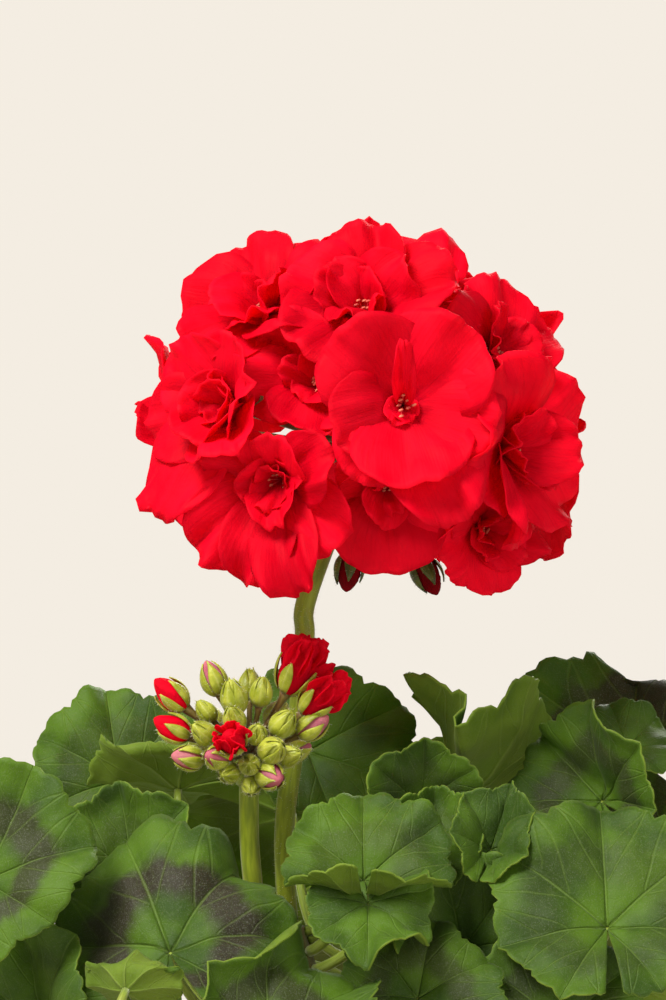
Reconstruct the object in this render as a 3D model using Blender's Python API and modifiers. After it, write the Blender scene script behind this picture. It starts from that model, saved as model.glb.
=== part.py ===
"""A potted zonal geranium: terracotta pot, soil, stem, leaves, one flower head and one cluster of buds.

Metres, +Z up, origin at the centre of the pot's flat base, the flowering side towards -Y.
"""

import math
from collections import namedtuple

import bmesh
import bpy
from mathutils import Matrix, Vector
from mathutils.geometry import interpolate_bezier

MM = 0.001
CLEARANCE = 0.0003  # between pieces that touch
WELD = 0.00001

# Pot
POT_HEIGHT = 0.118
POT_RIM_RADIUS = 0.065
POT_BASE_RADIUS = 0.043
POT_WALL = 0.0055
POT_FLOOR = 0.008
POT_RIM_BAND = 0.024
POT_RIM_STEP = 0.004
POT_EDGE_ROUNDING = 0.0012
DRAIN_HOLE_RADIUS = 0.006
DRAIN_HOLES = 3
DRAIN_RING = 0.55  # how far the drain holes stand from the middle, as a share of the floor's radius
HOLE_SIDES = 16
TURNED_STEPS = 32

# Soil
SOIL_BELOW_RIM = 0.012
SOIL_CROWN = 0.003  # how much higher the soil stands in the middle
SOIL_SHOULDER = (0.6, 0.3)  # where the crown bends: share of the soil's radius, share of the crown lost there
STEM_DEPTH = 0.015  # how deep the stem stands in the soil

# Plant. Places in the foliage are in millimetres from the middle of the soil's surface, for this radius.
FOLIAGE_RADIUS = 0.115
WRITTEN_RADIUS = 115
GROWTH = FOLIAGE_RADIUS / WRITTEN_RADIUS
TRUNK_RADIUS = 0.005
BRANCH_RADIUS = 0.0034
TIP_SHARE = 0.75  # a branch's tip radius as a share of its base radius
ROUTE_STEPS = 3  # steps between two corners of a stem's route
BRANCH_BARE = 0.3  # the share of a branch that carries no leaf
TRUNK_BARE = 0.7
TIP_BARE = 0.4  # the room past a branch's last leaf, in leaf spacings
PETIOLE_RADIUS = 0.0012
PETIOLE_STUB = 1.5  # how far a petiole runs straight out of the stem, in petiole radii
PETIOLE_FOOT_BEND = 0.3  # how slowly it bends at its foot and under its blade, as shares of its length
PETIOLE_TOP_BEND = 0.35
PETIOLE_STEPS = 6
LEAF_THICKNESS = 0.0009
LEAF_RINGS = 3
LEAF_SPOKES = 15
LEAF_NOTCH = math.radians(38)
LEAF_BACK_SHORTENING = 0.32  # how much shorter the blade is beside its notch than along its midrib
LEAF_LOBES = 5
LEAF_LOBE_DEPTH = 0.05

# Flower head
STALK_RADIUS = 0.0026
HUB_RADIUS = 0.0045
HUB_SHAPE = ((-0.8, 0.735), (0.0, 0.98), (0.6, 0.735), (0.9, 0.343))  # along and across the stalk, in hub radii
STALK_TOP_BELOW_HUB = 0.037  # where the stalk enters the head
HEAD_HEIGHT = 0.187  # from the soil to the flower head's hub
HEAD_ASIDE = 0.011  # how far the hub stands to the right of the pot's axis
PEDICEL_RADIUS = 0.0007
FLORET_RADIUS = 0.024
FLORET_DEPTH = 0.011
FLORET_REACH = 0.055  # from the hub to the middle of a floret
PETAL_THICKNESS = 0.0008
PETALS = 5
PETAL_SCALLOP = 0.12  # how much shorter the corolla is between two petals
COROLLA_CURVE = 1.5
FLORET_RINGS = 2
FLORET_SPOKES = 20

# Buds
BUD_STALK_RADIUS = 0.0025
BUD_SHAPE = ((-1.9, 0.3), (-1.3, 0.75), (-0.4, 1.0), (0.6, 0.85), (1.5, 0.45), (2.0, 0.12))  # in bud radii
BUD_NECK = 2.3  # where the pedicel ends below the bud's middle, in bud radii
SMALL_BUDS = 10
SMALL_BUD_RADIUS = 2.7 * GROWTH
SMALL_BUD_REACH = 17 * GROWTH
SMALL_BUD_TOP_LIFT = 86
SMALL_BUD_LIFT_STEP = 10.5
SMALL_BUD_LEAST_ANGLE = math.radians(26)

SOIL_TOP = POT_HEIGHT - SOIL_BELOW_RIM

# Each branch's route in foliage millimetres, from inside the trunk to its tip.
BRANCHES = {
    "left": ((0, 0, 10), (-16, -3, 26), (-38, -6, 42), (-50, -7, 60)),
    "right": ((0, 0, 14), (18, -3, 27), (42, -5, 44), (54, -5, 66)),
    "front": ((0, 0, 6), (0, -16, 18), (2, -32, 30), (3, -40, 48)),
    "bud": ((0, 0, 18), (-8, -8, 30), (-14, -13, 46), (-17, -15, 62)),
    "back": ((0, 0, 12), (4, 18, 24), (9, 36, 40), (11, 46, 58)),
}
TRUNK_ROUTE = ((0, 0, -15), (0, 0, 20), (-3, 2, 45), (-8, 3, 62))
FLOWER_STALK_ROUTE = ((-9, 2, 75), (-9, 0, 92), (-6, 0, 115), (-4, 0, 138), (-3, 0, 150))
BUD_STALK_ROUTE = ((-17, -16, 74), (-18, -18, 88))
BUD_HUB = (-18, -20, 106)

# turn: the way the upper face looks, 0 towards -Y and 90 towards +X. lift: how far it looks up from level.
# spin: the midrib's turn from straight up, anticlockwise as the face is seen. All in degrees.
Leaf = namedtuple("Leaf", "name branch x y z radius turn lift spin cup fold")
LEAVES = (
    # name, branch, x, y, z, radius, turn, lift, spin, cup, fold
    Leaf("leaf_left_low", "left", -70, -42, 43, 21, -25, 25, 20, 0.1, 0.4),
    Leaf("leaf_left_front", "left", -82, -45, 80, 30, -20, 40, -20, 0.1, 0.0),
    Leaf("leaf_left_inner", "left", -37, 5, 100, 23, 178, 58, -90, 0.1, 0.0),
    Leaf("leaf_left_back", "left", -54, 38, 99, 27, -25, 42, 10, 0.0, 0.0),
    Leaf("leaf_bottom", "front", -14, -82, 49, 27, 8, 38, 0, 0.1, 0.0),
    Leaf("leaf_bottom_right", "front", 28, -63, 46, 17, 5, 35, -10, 0.0, 0.0),
    Leaf("leaf_centre_left", "front", -36, -52, 64, 31, -5, 44, 20, 0.15, 0.0),
    Leaf("leaf_front_small", "front", 13, -74, 72, 17, 0, 50, 180, -0.1, 0.2),
    Leaf("leaf_front", "front", 11, -56, 81, 24, 0, 55, 0, -0.2, 0.0),
    Leaf("leaf_curled", "bud", -50, -80, 53, 13, 170, 30, 0, 0.3, 0.0),
    Leaf("leaf_behind", "bud", -43, -18, 83, 19, -5, 35, 10, 0.0, 0.0),
    Leaf("leaf_right_low", "right", 60, -60, 44, 18, 10, 38, 0, 0.0, 0.0),
    Leaf("leaf_right_dark", "right", 36, -45, 58, 24, 5, 35, 10, 0.0, 0.0),
    Leaf("leaf_right_front", "right", 71, -57, 70, 34, 12, 28, 0, 0.05, 0.0),
    Leaf("leaf_right_inner", "right", 43, -40, 87, 16, 12, 25, -20, 0.1, 0.0),
    Leaf("leaf_right_folded", "right", 72, -18, 98, 23, -10, 45, 42, 0.0, 0.7),
    Leaf("leaf_right_back", "right", 84, 25, 106, 36, -20, 30, 60, 0.0, 0.0),
    Leaf("leaf_right_edge", "right", 76, -2, 118, 11, 0, 80, 0, 0.0, 0.0),
    Leaf("leaf_shaded", "trunk", 29, -33, 86, 14, 0, 35, 0, 0.1, 0.0),
    Leaf("leaf_cupped", "trunk", 26, -18, 98, 16, 0, 32, 0, 0.3, 0.0),
    Leaf("leaf_upright", "trunk", -2, 18, 108, 22, 15, 10, -65, 0.1, 0.0),
    Leaf("leaf_beneath", "trunk", 39, 2, 101, 27, 172, 28, -25, 0.0, 0.5),
    Leaf("leaf_back_left_low", "back", -42, 62, 52, 36, -145, 45, 180, 0.0, 0.0),
    Leaf("leaf_back_low", "back", 14, 80, 50, 34, 175, 45, 180, -0.1, 0.0),
    Leaf("leaf_back_right_low", "back", 64, 50, 56, 36, 130, 45, 180, 0.0, 0.0),
    Leaf("leaf_back_left", "back", -76, 24, 72, 34, -110, 45, 180, -0.1, 0.0),
    Leaf("leaf_back", "back", -8, 58, 90, 34, -170, 50, 180, -0.1, 0.0),
    Leaf("leaf_back_right", "back", 42, 56, 94, 32, 150, 50, 180, 0.0, 0.0),
)

# turn and lift, in degrees, of the way from the head's hub to each floret.
FLORETS = {
    "floret_front": (10, 10),
    "floret_left": (-42, 11),
    "floret_lower_left": (-23, -9),
    "floret_upper_left": (-46, 45),
    "floret_top": (0, 46),
    "floret_top_right": (50, 62),
    "floret_upper_right": (60, 32),
    "floret_right": (48, 0),
    "floret_lower_right": (42, -30),
    "floret_bottom": (14, -24),
    "floret_inner": (-17, 22),
    "floret_crown": (-120, 70),
    "floret_side_left": (-93, 6),
    "floret_back_left": (-135, 28),
    "floret_back": (178, 32),
    "floret_back_right": (128, 34),
    "floret_side_right": (102, -8),
    "floret_low_back": (170, -14),
}
# turn, lift, reach: the bud's place from its hub. leave_turn, leave_lift: the way its pedicel leaves the hub.
Bud = namedtuple("Bud", "name turn lift reach radius leave_turn leave_lift")
# Reaches and radii in millimetres.
HEAD_BUDS = (
    Bud("hanging_bud_middle", -15, -66, 35, 3.4, -8, -38),
    Bud("hanging_bud_right", 62, -60, 38, 3.6, 62, -60),
    Bud("hanging_bud_left", -75, -42, 40, 3.0, -80, -15),
)
# Reaches and radii in foliage millimetres.
CLUSTER_BUDS = (
    Bud("opening_bud_high", 68, 62, 29, 4.0, 68, 68),
    Bud("opening_bud_low", 68, 42, 27, 3.8, 68, 50),
    Bud("red_bud_high", -79, 42, 28, 3.5, -79, 50),
    Bud("red_bud_low", -73, 26, 23, 3.3, -73, 34),
    Bud("red_bud_right", 67, 20, 20, 3.0, 67, 28),
    Bud("open_bud", -13, 24, 19, 3.6, -13, 32),
)


def clear_scene():
    for obj in list(bpy.data.objects):
        bpy.data.objects.remove(obj)


def new_collection(name, parent):
    made = bpy.data.collections.new(name)
    parent.children.link(made)
    return made


def new_material(name, colour, roughness):
    made = bpy.data.materials.new(name)
    made.use_nodes = True
    made.diffuse_color = (*colour, 1)
    shader = made.node_tree.nodes["Principled BSDF"]
    shader.inputs["Base Color"].default_value = (*colour, 1)
    shader.inputs["Roughness"].default_value = roughness
    shader.inputs["Metallic"].default_value = 0.0
    return made


def add_object(name, mesh, material, place=None):
    obj = bpy.data.objects.new(name, mesh)
    obj.data.materials.append(material)
    obj.data.shade_smooth()
    if place is not None:
        obj.matrix_world = place
    PLANT.objects.link(obj)
    return obj


def add_helper(name, mesh, group):
    obj = bpy.data.objects.new(name, mesh)
    obj.hide_render = True
    obj.display_type = "WIRE"
    group.objects.link(obj)
    return obj


def join(obj, meshes):
    """Grows the meshes, given in world coordinates, onto the object."""
    group = new_collection(obj.name + "_joined", HELPERS)
    for number, mesh in enumerate(meshes):
        add_helper(f"{obj.name}_joined_{number}", mesh, group)
    joined = obj.modifiers.new("joined", "BOOLEAN")
    joined.operation = "UNION"
    joined.operand_type = "COLLECTION"
    joined.collection = group


def cut(obj, cutters):
    """Takes the cutters' meshes, given in world coordinates, out of the object."""
    group = new_collection(obj.name + "_cutters", HELPERS)
    for number, mesh in enumerate(cutters):
        add_helper(f"{obj.name}_cutter_{number}", mesh, group)
    gone = obj.modifiers.new("cut", "BOOLEAN")
    gone.operation = "DIFFERENCE"
    gone.operand_type = "COLLECTION"
    gone.collection = group


def tube(points, radii, sides=2):
    """A closed tube along the points, with a radius for each of them."""
    curve = bpy.data.curves.new("tube", "CURVE")
    curve.dimensions = "3D"
    curve.bevel_depth = 1.0
    curve.bevel_resolution = sides
    curve.use_fill_caps = True
    spline = curve.splines.new("POLY")
    spline.points.add(len(points) - 1)
    for spot, point, radius in zip(spline.points, points, radii):
        spot.co = (*point, 1)
        spot.radius = radius
    path = bpy.data.objects.new("tube", curve)
    HELPERS.objects.link(path)
    graph = bpy.context.evaluated_depsgraph_get()
    mesh = bpy.data.meshes.new_from_object(path.evaluated_get(graph))
    bpy.data.objects.remove(path)
    bpy.data.curves.remove(curve)
    weld(mesh)
    return mesh


def weld(mesh):
    edited = bmesh.new()
    edited.from_mesh(mesh)
    bmesh.ops.remove_doubles(edited, verts=edited.verts, dist=WELD)
    bmesh.ops.recalc_face_normals(edited, faces=edited.faces)
    edited.to_mesh(mesh)
    edited.free()


def taper(start, end, count):
    return [start + (end - start) * step / (count - 1) for step in range(count)]


def smooth_route(corners, steps):
    """Points along a soft curve through the corners, with this many steps between two of them."""
    points = []
    for index in range(len(corners) - 1):
        start, end = corners[index], corners[index + 1]
        before = corners[max(index - 1, 0)]
        after = corners[min(index + 2, len(corners) - 1)]
        near = start + (end - before) / 6
        far = end - (after - start) / 6
        points += interpolate_bezier(start, near, far, end, steps + 1)[:-1]
    return points + [corners[-1]]


def in_foliage(x, y, z):
    """A place written in foliage millimetres, in metres."""
    return Vector((0, 0, SOIL_TOP)) + Vector((x, y, z)) * GROWTH


def direction(turn, lift):
    turn, lift = math.radians(turn), math.radians(lift)
    level = math.cos(lift)
    return Vector((level * math.sin(turn), -level * math.cos(turn), math.sin(lift)))


def facing(place, normal, spin=0.0):
    """The frame at a place with +Z along the normal, and +Y spun from straight up."""
    up = Vector((0, 0, 1))
    up = (up - normal * up.dot(normal)).normalized()
    up = Matrix.Rotation(math.radians(spin), 3, normal) @ up
    turned = Matrix((up.cross(normal), up, normal)).transposed()
    return Matrix.Translation(place) @ turned.to_4x4()


def turned_mesh(name, profile):
    """The profile of (radius, height), from its inner end round to the foot, as an open line for a Screw."""
    line = bmesh.new()
    spots = [line.verts.new((radius, 0, height)) for radius, height in profile]
    for start, end in zip(spots, spots[1:]):
        line.edges.new((start, end))
    mesh = bpy.data.meshes.new(name)
    line.to_mesh(mesh)
    line.free()
    return mesh


def add_turned(name, profile, material):
    obj = add_object(name, turned_mesh(name, profile), material)
    screw = obj.modifiers.new("turned", "SCREW")
    screw.steps = TURNED_STEPS
    screw.render_steps = TURNED_STEPS
    screw.use_merge_vertices = True
    screw.merge_threshold = WELD
    return obj


def rounded_edge(radius, height, inward, upward):
    """Three points round an edge whose profile sides leave it by the two signed amounts."""
    bend = 1 - math.sqrt(0.5)
    return (
        (radius + inward, height),
        (radius + inward * bend, height + upward * bend),
        (radius, height + upward),
    )


def rim_inner_radius():
    return POT_RIM_RADIUS - POT_WALL


def foot_inner_radius():
    return POT_BASE_RADIUS - POT_WALL


def inner_radius(height):
    share = (height - POT_FLOOR) / (POT_HEIGHT - POT_FLOOR)
    return foot_inner_radius() + (rim_inner_radius() - foot_inner_radius()) * share


def cylinder(radius, depth, place):
    made = bmesh.new()
    bmesh.ops.create_cone(
        made, cap_ends=True, segments=HOLE_SIDES, radius1=radius, radius2=radius, depth=depth
    )
    bmesh.ops.translate(made, verts=made.verts, vec=place)
    mesh = bpy.data.meshes.new("cylinder")
    made.to_mesh(mesh)
    made.free()
    return mesh


def add_pot():
    edge = POT_EDGE_ROUNDING
    band_foot = POT_HEIGHT - POT_RIM_BAND
    wall_top = POT_RIM_RADIUS - POT_RIM_STEP
    profile = (
        (0, POT_FLOOR),
        (foot_inner_radius(), POT_FLOOR),
        *reversed(rounded_edge(rim_inner_radius(), POT_HEIGHT, edge, -edge)),
        *rounded_edge(POT_RIM_RADIUS, POT_HEIGHT, -edge, -edge),
        *reversed(rounded_edge(POT_RIM_RADIUS, band_foot, -edge, edge)),
        (wall_top, band_foot),
        *reversed(rounded_edge(POT_BASE_RADIUS, 0, -edge, edge)),
        (0, 0),
    )
    pot = add_turned("pot", profile, new_material("terracotta", (0.55, 0.20, 0.09), 0.85))
    ring = foot_inner_radius() * DRAIN_RING
    holes = []
    for number in range(DRAIN_HOLES):
        turn = math.tau * (number + 0.5) / DRAIN_HOLES
        place = Vector((ring * math.cos(turn), ring * math.sin(turn), POT_FLOOR / 2))
        holes.append(cylinder(DRAIN_HOLE_RADIUS, POT_FLOOR * 3, place))
    cut(pot, holes)


def add_soil():
    floor = POT_FLOOR + CLEARANCE
    edge_height = SOIL_TOP - SOIL_CROWN
    shoulder, drop = SOIL_SHOULDER
    profile = (
        (0, SOIL_TOP),
        (inner_radius(edge_height) * shoulder, SOIL_TOP - SOIL_CROWN * drop),
        (inner_radius(edge_height) - CLEARANCE, edge_height),
        (inner_radius(floor) - CLEARANCE, floor),
        (0, floor),
    )
    soil = add_turned("soil", profile, new_material("soil", (0.05, 0.03, 0.02), 0.95))
    socket_foot = SOIL_TOP - STEM_DEPTH - CLEARANCE
    depth = 2 * (SOIL_TOP - socket_foot)
    socket = cylinder(TRUNK_RADIUS + CLEARANCE, depth, Vector((0, 0, socket_foot + depth / 2)))
    cut(soil, [socket])


def branch_radii(base, count):
    return taper(base, base * TIP_SHARE, count)


def trunk_corners():
    """The trunk's corners: its buried foot keeps its depth whatever the foliage's size."""
    corners = [in_foliage(*corner) for corner in TRUNK_ROUTE]
    corners[0] = Vector((0, 0, SOIL_TOP - STEM_DEPTH))
    return corners


def branch_route(name):
    corners = [in_foliage(*corner) for corner in BRANCHES[name]]
    return smooth_route(corners, ROUTE_STEPS)


def add_stem(green):
    trunk = smooth_route(trunk_corners(), ROUTE_STEPS)
    stem = add_object("stem", tube(trunk, branch_radii(TRUNK_RADIUS, len(trunk))), green)
    branches = []
    for name in BRANCHES:
        points = branch_route(name)
        branches.append(tube(points, branch_radii(BRANCH_RADIUS, len(points))))
    join(stem, branches)


def stalk_with_hub(branch, route, hub, radius):
    """A stalk from just past a branch's tip, which swells into the round hub that its pedicels leave from."""
    way = (branch[-1] - branch[-2]).normalized()
    start = branch[-1] + way * CLEARANCE
    points = [start, *smooth_route([start + way * radius, *route, hub], 2)]
    way = (points[-1] - points[-2]).normalized()
    ends = [hub + way * HUB_RADIUS * along for along, _ in HUB_SHAPE]
    swollen = [HUB_RADIUS * across for _, across in HUB_SHAPE]
    return tube([*points[:-1], *ends], [radius] * (len(points) - 1) + swollen)


def head_hub():
    return Vector((HEAD_ASIDE, 0, SOIL_TOP + HEAD_HEIGHT))


def add_flower_stalk(green):
    trunk = smooth_route(trunk_corners(), ROUTE_STEPS)
    mesh = stalk_with_hub(trunk, flower_route(), head_hub(), STALK_RADIUS)
    add_object("flower_stalk", mesh, green)


def flower_route():
    """The stalk's corners, stretched from the trunk's tip to the hub."""
    foot = TRUNK_ROUTE[-1][2] * GROWTH
    written_foot, written_top = TRUNK_ROUTE[-1][2], FLOWER_STALK_ROUTE[-1][2]
    top = HEAD_HEIGHT - STALK_TOP_BELOW_HUB
    corners = []
    for x, y, z in FLOWER_STALK_ROUTE:
        share = (z - written_foot) / (written_top - written_foot)
        corners.append(Vector((x * GROWTH, y * GROWTH, SOIL_TOP + foot + (top - foot) * share)))
    return corners


def bud_mesh(hub, leave, way, reach, radius):
    """A bud on its pedicel: one tube that leaves the hub, bends to its own way and swells towards its end."""
    start = hub + leave * (HUB_RADIUS + CLEARANCE)
    middle = hub + way * reach
    neck = middle - way * radius * BUD_NECK
    handle = (neck - start).length / 3
    pedicel = interpolate_bezier(start, start + leave * handle, neck - way * handle, neck, 3)
    points = pedicel + [middle + way * radius * along for along, _ in BUD_SHAPE]
    radii = [PEDICEL_RADIUS] * len(pedicel) + [radius * across for _, across in BUD_SHAPE]
    return tube(points, radii, sides=1)


def small_bud_ways():
    """Ways spread evenly over the lower front of the umbel, by the golden angle."""
    golden = math.pi * (3 - math.sqrt(5))
    ways = []
    for number in range(SMALL_BUDS):
        lift = SMALL_BUD_TOP_LIFT - SMALL_BUD_LIFT_STEP * number
        turn = math.degrees(golden * number)
        ways.append(direction(turn, lift))
    return ways


def free_small_bud_ways():
    """The even ways that no larger bud stands in."""
    taken = [direction(bud.turn, bud.lift) for bud in CLUSTER_BUDS]
    free = []
    for way in small_bud_ways():
        if all(way.angle(other) > SMALL_BUD_LEAST_ANGLE for other in taken):
            free.append(way)
    return free


def add_bud_cluster(green, red):
    hub = in_foliage(*BUD_HUB)
    route = [in_foliage(*corner) for corner in BUD_STALK_ROUTE]
    mesh = stalk_with_hub(branch_route("bud"), route, hub, BUD_STALK_RADIUS)
    stalk = add_object("bud_stalk", mesh, green)
    small = []
    for way in free_small_bud_ways():
        inside = hub - way * (CLEARANCE + HUB_RADIUS / 2)
        small.append(bud_mesh(inside, way, way, SMALL_BUD_REACH, SMALL_BUD_RADIUS))
    join(stalk, small)
    add_buds(CLUSTER_BUDS, hub, GROWTH, red)


def add_buds(buds, hub, unit, red):
    """The buds of one hub. Their reaches and radii are in this unit."""
    for bud in buds:
        leave = direction(bud.leave_turn, bud.leave_lift)
        way = direction(bud.turn, bud.lift)
        add_object(bud.name, bud_mesh(hub, leave, way, bud.reach * unit, bud.radius * unit), red)


def round_grid(rings, spokes, opening):
    """A flat grid bent round its middle. Each vertex holds (share of the radius, angle, 0)."""
    grid = bmesh.new()
    bmesh.ops.create_grid(grid, x_segments=rings, y_segments=spokes, size=0.5)
    for vert in grid.verts:
        vert.co = (vert.co.x + 0.5, vert.co.y * (math.tau - opening), 0)
    return grid


def finish_grid(grid, name):
    bmesh.ops.remove_doubles(grid, verts=grid.verts, dist=WELD)
    mesh = bpy.data.meshes.new(name)
    grid.to_mesh(mesh)
    grid.free()
    return mesh


def thicken(obj, thickness):
    shell = obj.modifiers.new("thickness", "SOLIDIFY")
    shell.thickness = thickness
    shell.offset = 0


def blade_mesh(leaf):
    """A round leaf blade about its petiole's end, open at the notch, cupped and folded along its midrib."""
    grid = round_grid(LEAF_RINGS, LEAF_SPOKES, LEAF_NOTCH)
    for vert in grid.verts:
        share, angle, _ = vert.co
        outline = 1 - LEAF_BACK_SHORTENING * (1 - math.cos(angle)) / 2
        outline *= 1 + LEAF_LOBE_DEPTH * math.cos(LEAF_LOBES * angle)
        distance = share * leaf.radius * GROWTH * outline
        height = distance * (leaf.cup * share + leaf.fold * abs(math.sin(angle)))
        vert.co = (-distance * math.sin(angle), distance * math.cos(angle), height)
    return finish_grid(grid, leaf.name)


def attachment(leaf):
    """The place on its branch that the leaf grows from, and the way out of the branch there."""
    own = [other.name for other in LEAVES if other.branch == leaf.branch]
    share = (own.index(leaf.name) + 1) / (len(own) + TIP_BARE)
    if leaf.branch == "trunk":
        points, base = smooth_route(trunk_corners(), ROUTE_STEPS), TRUNK_RADIUS
        share = TRUNK_BARE + (1 - TRUNK_BARE) * share
    else:
        points, base = branch_route(leaf.branch), BRANCH_RADIUS
        share = BRANCH_BARE + (1 - BRANCH_BARE) * share
    spot = share * (len(points) - 1)
    index = min(int(spot), len(points) - 2)
    along = points[index + 1] - points[index]
    centre = points[index] + along * (spot - index)
    outward = in_foliage(leaf.x, leaf.y, leaf.z) - centre
    outward -= along * outward.dot(along) / along.length_squared
    outward.normalize()
    radius = base * (1 - (1 - TIP_SHARE) * share)
    return centre + outward * (radius + CLEARANCE), outward


def petiole_mesh(leaf, end, normal):
    start, outward = attachment(leaf)
    length = (end - start).length
    stub = start + outward * PETIOLE_RADIUS * PETIOLE_STUB
    near = stub + outward * length * PETIOLE_FOOT_BEND
    far = end - normal * length * PETIOLE_TOP_BEND
    points = [start, *interpolate_bezier(stub, near, far, end, PETIOLE_STEPS)]
    return tube(points, [PETIOLE_RADIUS] * len(points), sides=1)


def add_leaf(leaf, green):
    normal = direction(leaf.turn, leaf.lift)
    place = in_foliage(leaf.x, leaf.y, leaf.z)
    obj = add_object(leaf.name, blade_mesh(leaf), green, facing(place, normal, leaf.spin))
    thicken(obj, LEAF_THICKNESS)
    join(obj, [petiole_mesh(leaf, place, normal)])


def cell_limit(way, others, place, height, angle):
    """How far the floret may reach at this angle before it meets the plane halfway to a neighbour."""
    margin = PETAL_THICKNESS + CLEARANCE / 2
    outward = place.to_3x3() @ Vector((-math.sin(angle), math.cos(angle), 0))
    limit = FLORET_RADIUS
    for other in others:
        halfway = (other - way).normalized()
        slope = outward.dot(halfway)
        if slope > 0.01:
            room = -margin - (FLORET_REACH + height) * way.dot(halfway)
            limit = min(limit, room / slope)
    return limit


def corolla_mesh(name, way, others, place):
    """A shallow bowl of petals, kept inside the floret's own share of the head."""
    grid = round_grid(FLORET_RINGS, FLORET_SPOKES, 0.0)
    for vert in grid.verts:
        share, angle, _ = vert.co
        outline = 1 - PETAL_SCALLOP * (1 - abs(math.cos(PETALS * angle / 2)))
        height = -FLORET_DEPTH * (1 - share) ** COROLLA_CURVE
        reach = cell_limit(way, others, place, -FLORET_DEPTH, angle)
        distance = share * min(FLORET_RADIUS * outline, reach)
        vert.co = (-distance * math.sin(angle), distance * math.cos(angle), height)
    return finish_grid(grid, name)


def add_florets(red):
    hub = head_hub()
    ways = {name: direction(turn, lift) for name, (turn, lift) in FLORETS.items()}
    bud_ways = [direction(bud.turn, bud.lift) for bud in HEAD_BUDS]
    stalk_way = (flower_route()[-1] - hub).normalized()
    for name, way in ways.items():
        others = [other for key, other in ways.items() if key != name] + bud_ways + [stalk_way]
        place = facing(hub + way * FLORET_REACH, way)
        obj = add_object(name, corolla_mesh(name, way, others, place), red, place)
        thicken(obj, PETAL_THICKNESS)
        start = hub + way * (HUB_RADIUS + CLEARANCE)
        end = hub + way * (FLORET_REACH - FLORET_DEPTH)
        join(obj, [tube([start, (start + end) / 2, end], [PEDICEL_RADIUS] * 3, sides=1)])


def main():
    green = new_material("leaf_green", (0.10, 0.22, 0.06), 0.6)
    stalk_green = new_material("stalk_green", (0.16, 0.22, 0.04), 0.55)
    red = new_material("petal_red", (0.75, 0.01, 0.02), 0.5)
    add_pot()
    add_soil()
    add_stem(stalk_green)
    add_flower_stalk(stalk_green)
    add_bud_cluster(stalk_green, red)
    add_buds(HEAD_BUDS, head_hub(), MM, red)
    add_florets(red)
    for leaf in LEAVES:
        add_leaf(leaf, green)


clear_scene()
PLANT = new_collection("potted_geranium", bpy.context.scene.collection)
HELPERS = new_collection("helpers", bpy.context.scene.collection)
main()
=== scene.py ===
"""The looks of the potted geranium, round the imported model. Metres, +Z up, the flowering side towards -Y."""
import random
from collections import namedtuple
from functools import partialmethod
from math import atan2, cos, exp, hypot, pi, radians, sin, sqrt, tau

import bpy
import numpy as np
from mathutils import Matrix, Vector, noise
from mathutils.bvhtree import BVHTree


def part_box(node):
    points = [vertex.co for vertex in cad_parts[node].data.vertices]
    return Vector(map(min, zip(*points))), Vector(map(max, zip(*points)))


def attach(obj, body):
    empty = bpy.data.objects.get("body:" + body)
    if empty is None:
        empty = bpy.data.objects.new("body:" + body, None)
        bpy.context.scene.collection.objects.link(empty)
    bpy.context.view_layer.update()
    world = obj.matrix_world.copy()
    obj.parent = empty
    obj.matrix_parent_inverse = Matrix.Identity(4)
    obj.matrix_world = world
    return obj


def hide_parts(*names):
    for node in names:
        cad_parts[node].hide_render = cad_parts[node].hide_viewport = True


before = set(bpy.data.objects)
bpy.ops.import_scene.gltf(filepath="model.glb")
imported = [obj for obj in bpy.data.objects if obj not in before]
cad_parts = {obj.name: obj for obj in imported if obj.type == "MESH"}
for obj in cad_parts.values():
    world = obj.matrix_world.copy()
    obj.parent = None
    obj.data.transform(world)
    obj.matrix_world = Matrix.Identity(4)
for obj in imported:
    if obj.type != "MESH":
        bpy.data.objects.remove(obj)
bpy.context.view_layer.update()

MM = 0.001
SOIL_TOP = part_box("soil")[1][2]
HEAD_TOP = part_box("flower_stalk")[1][2]
HUB_RADIUS = 0.0045
HUB = Vector((0.011, 0.0, HEAD_TOP - HUB_RADIUS * 0.9))

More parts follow.
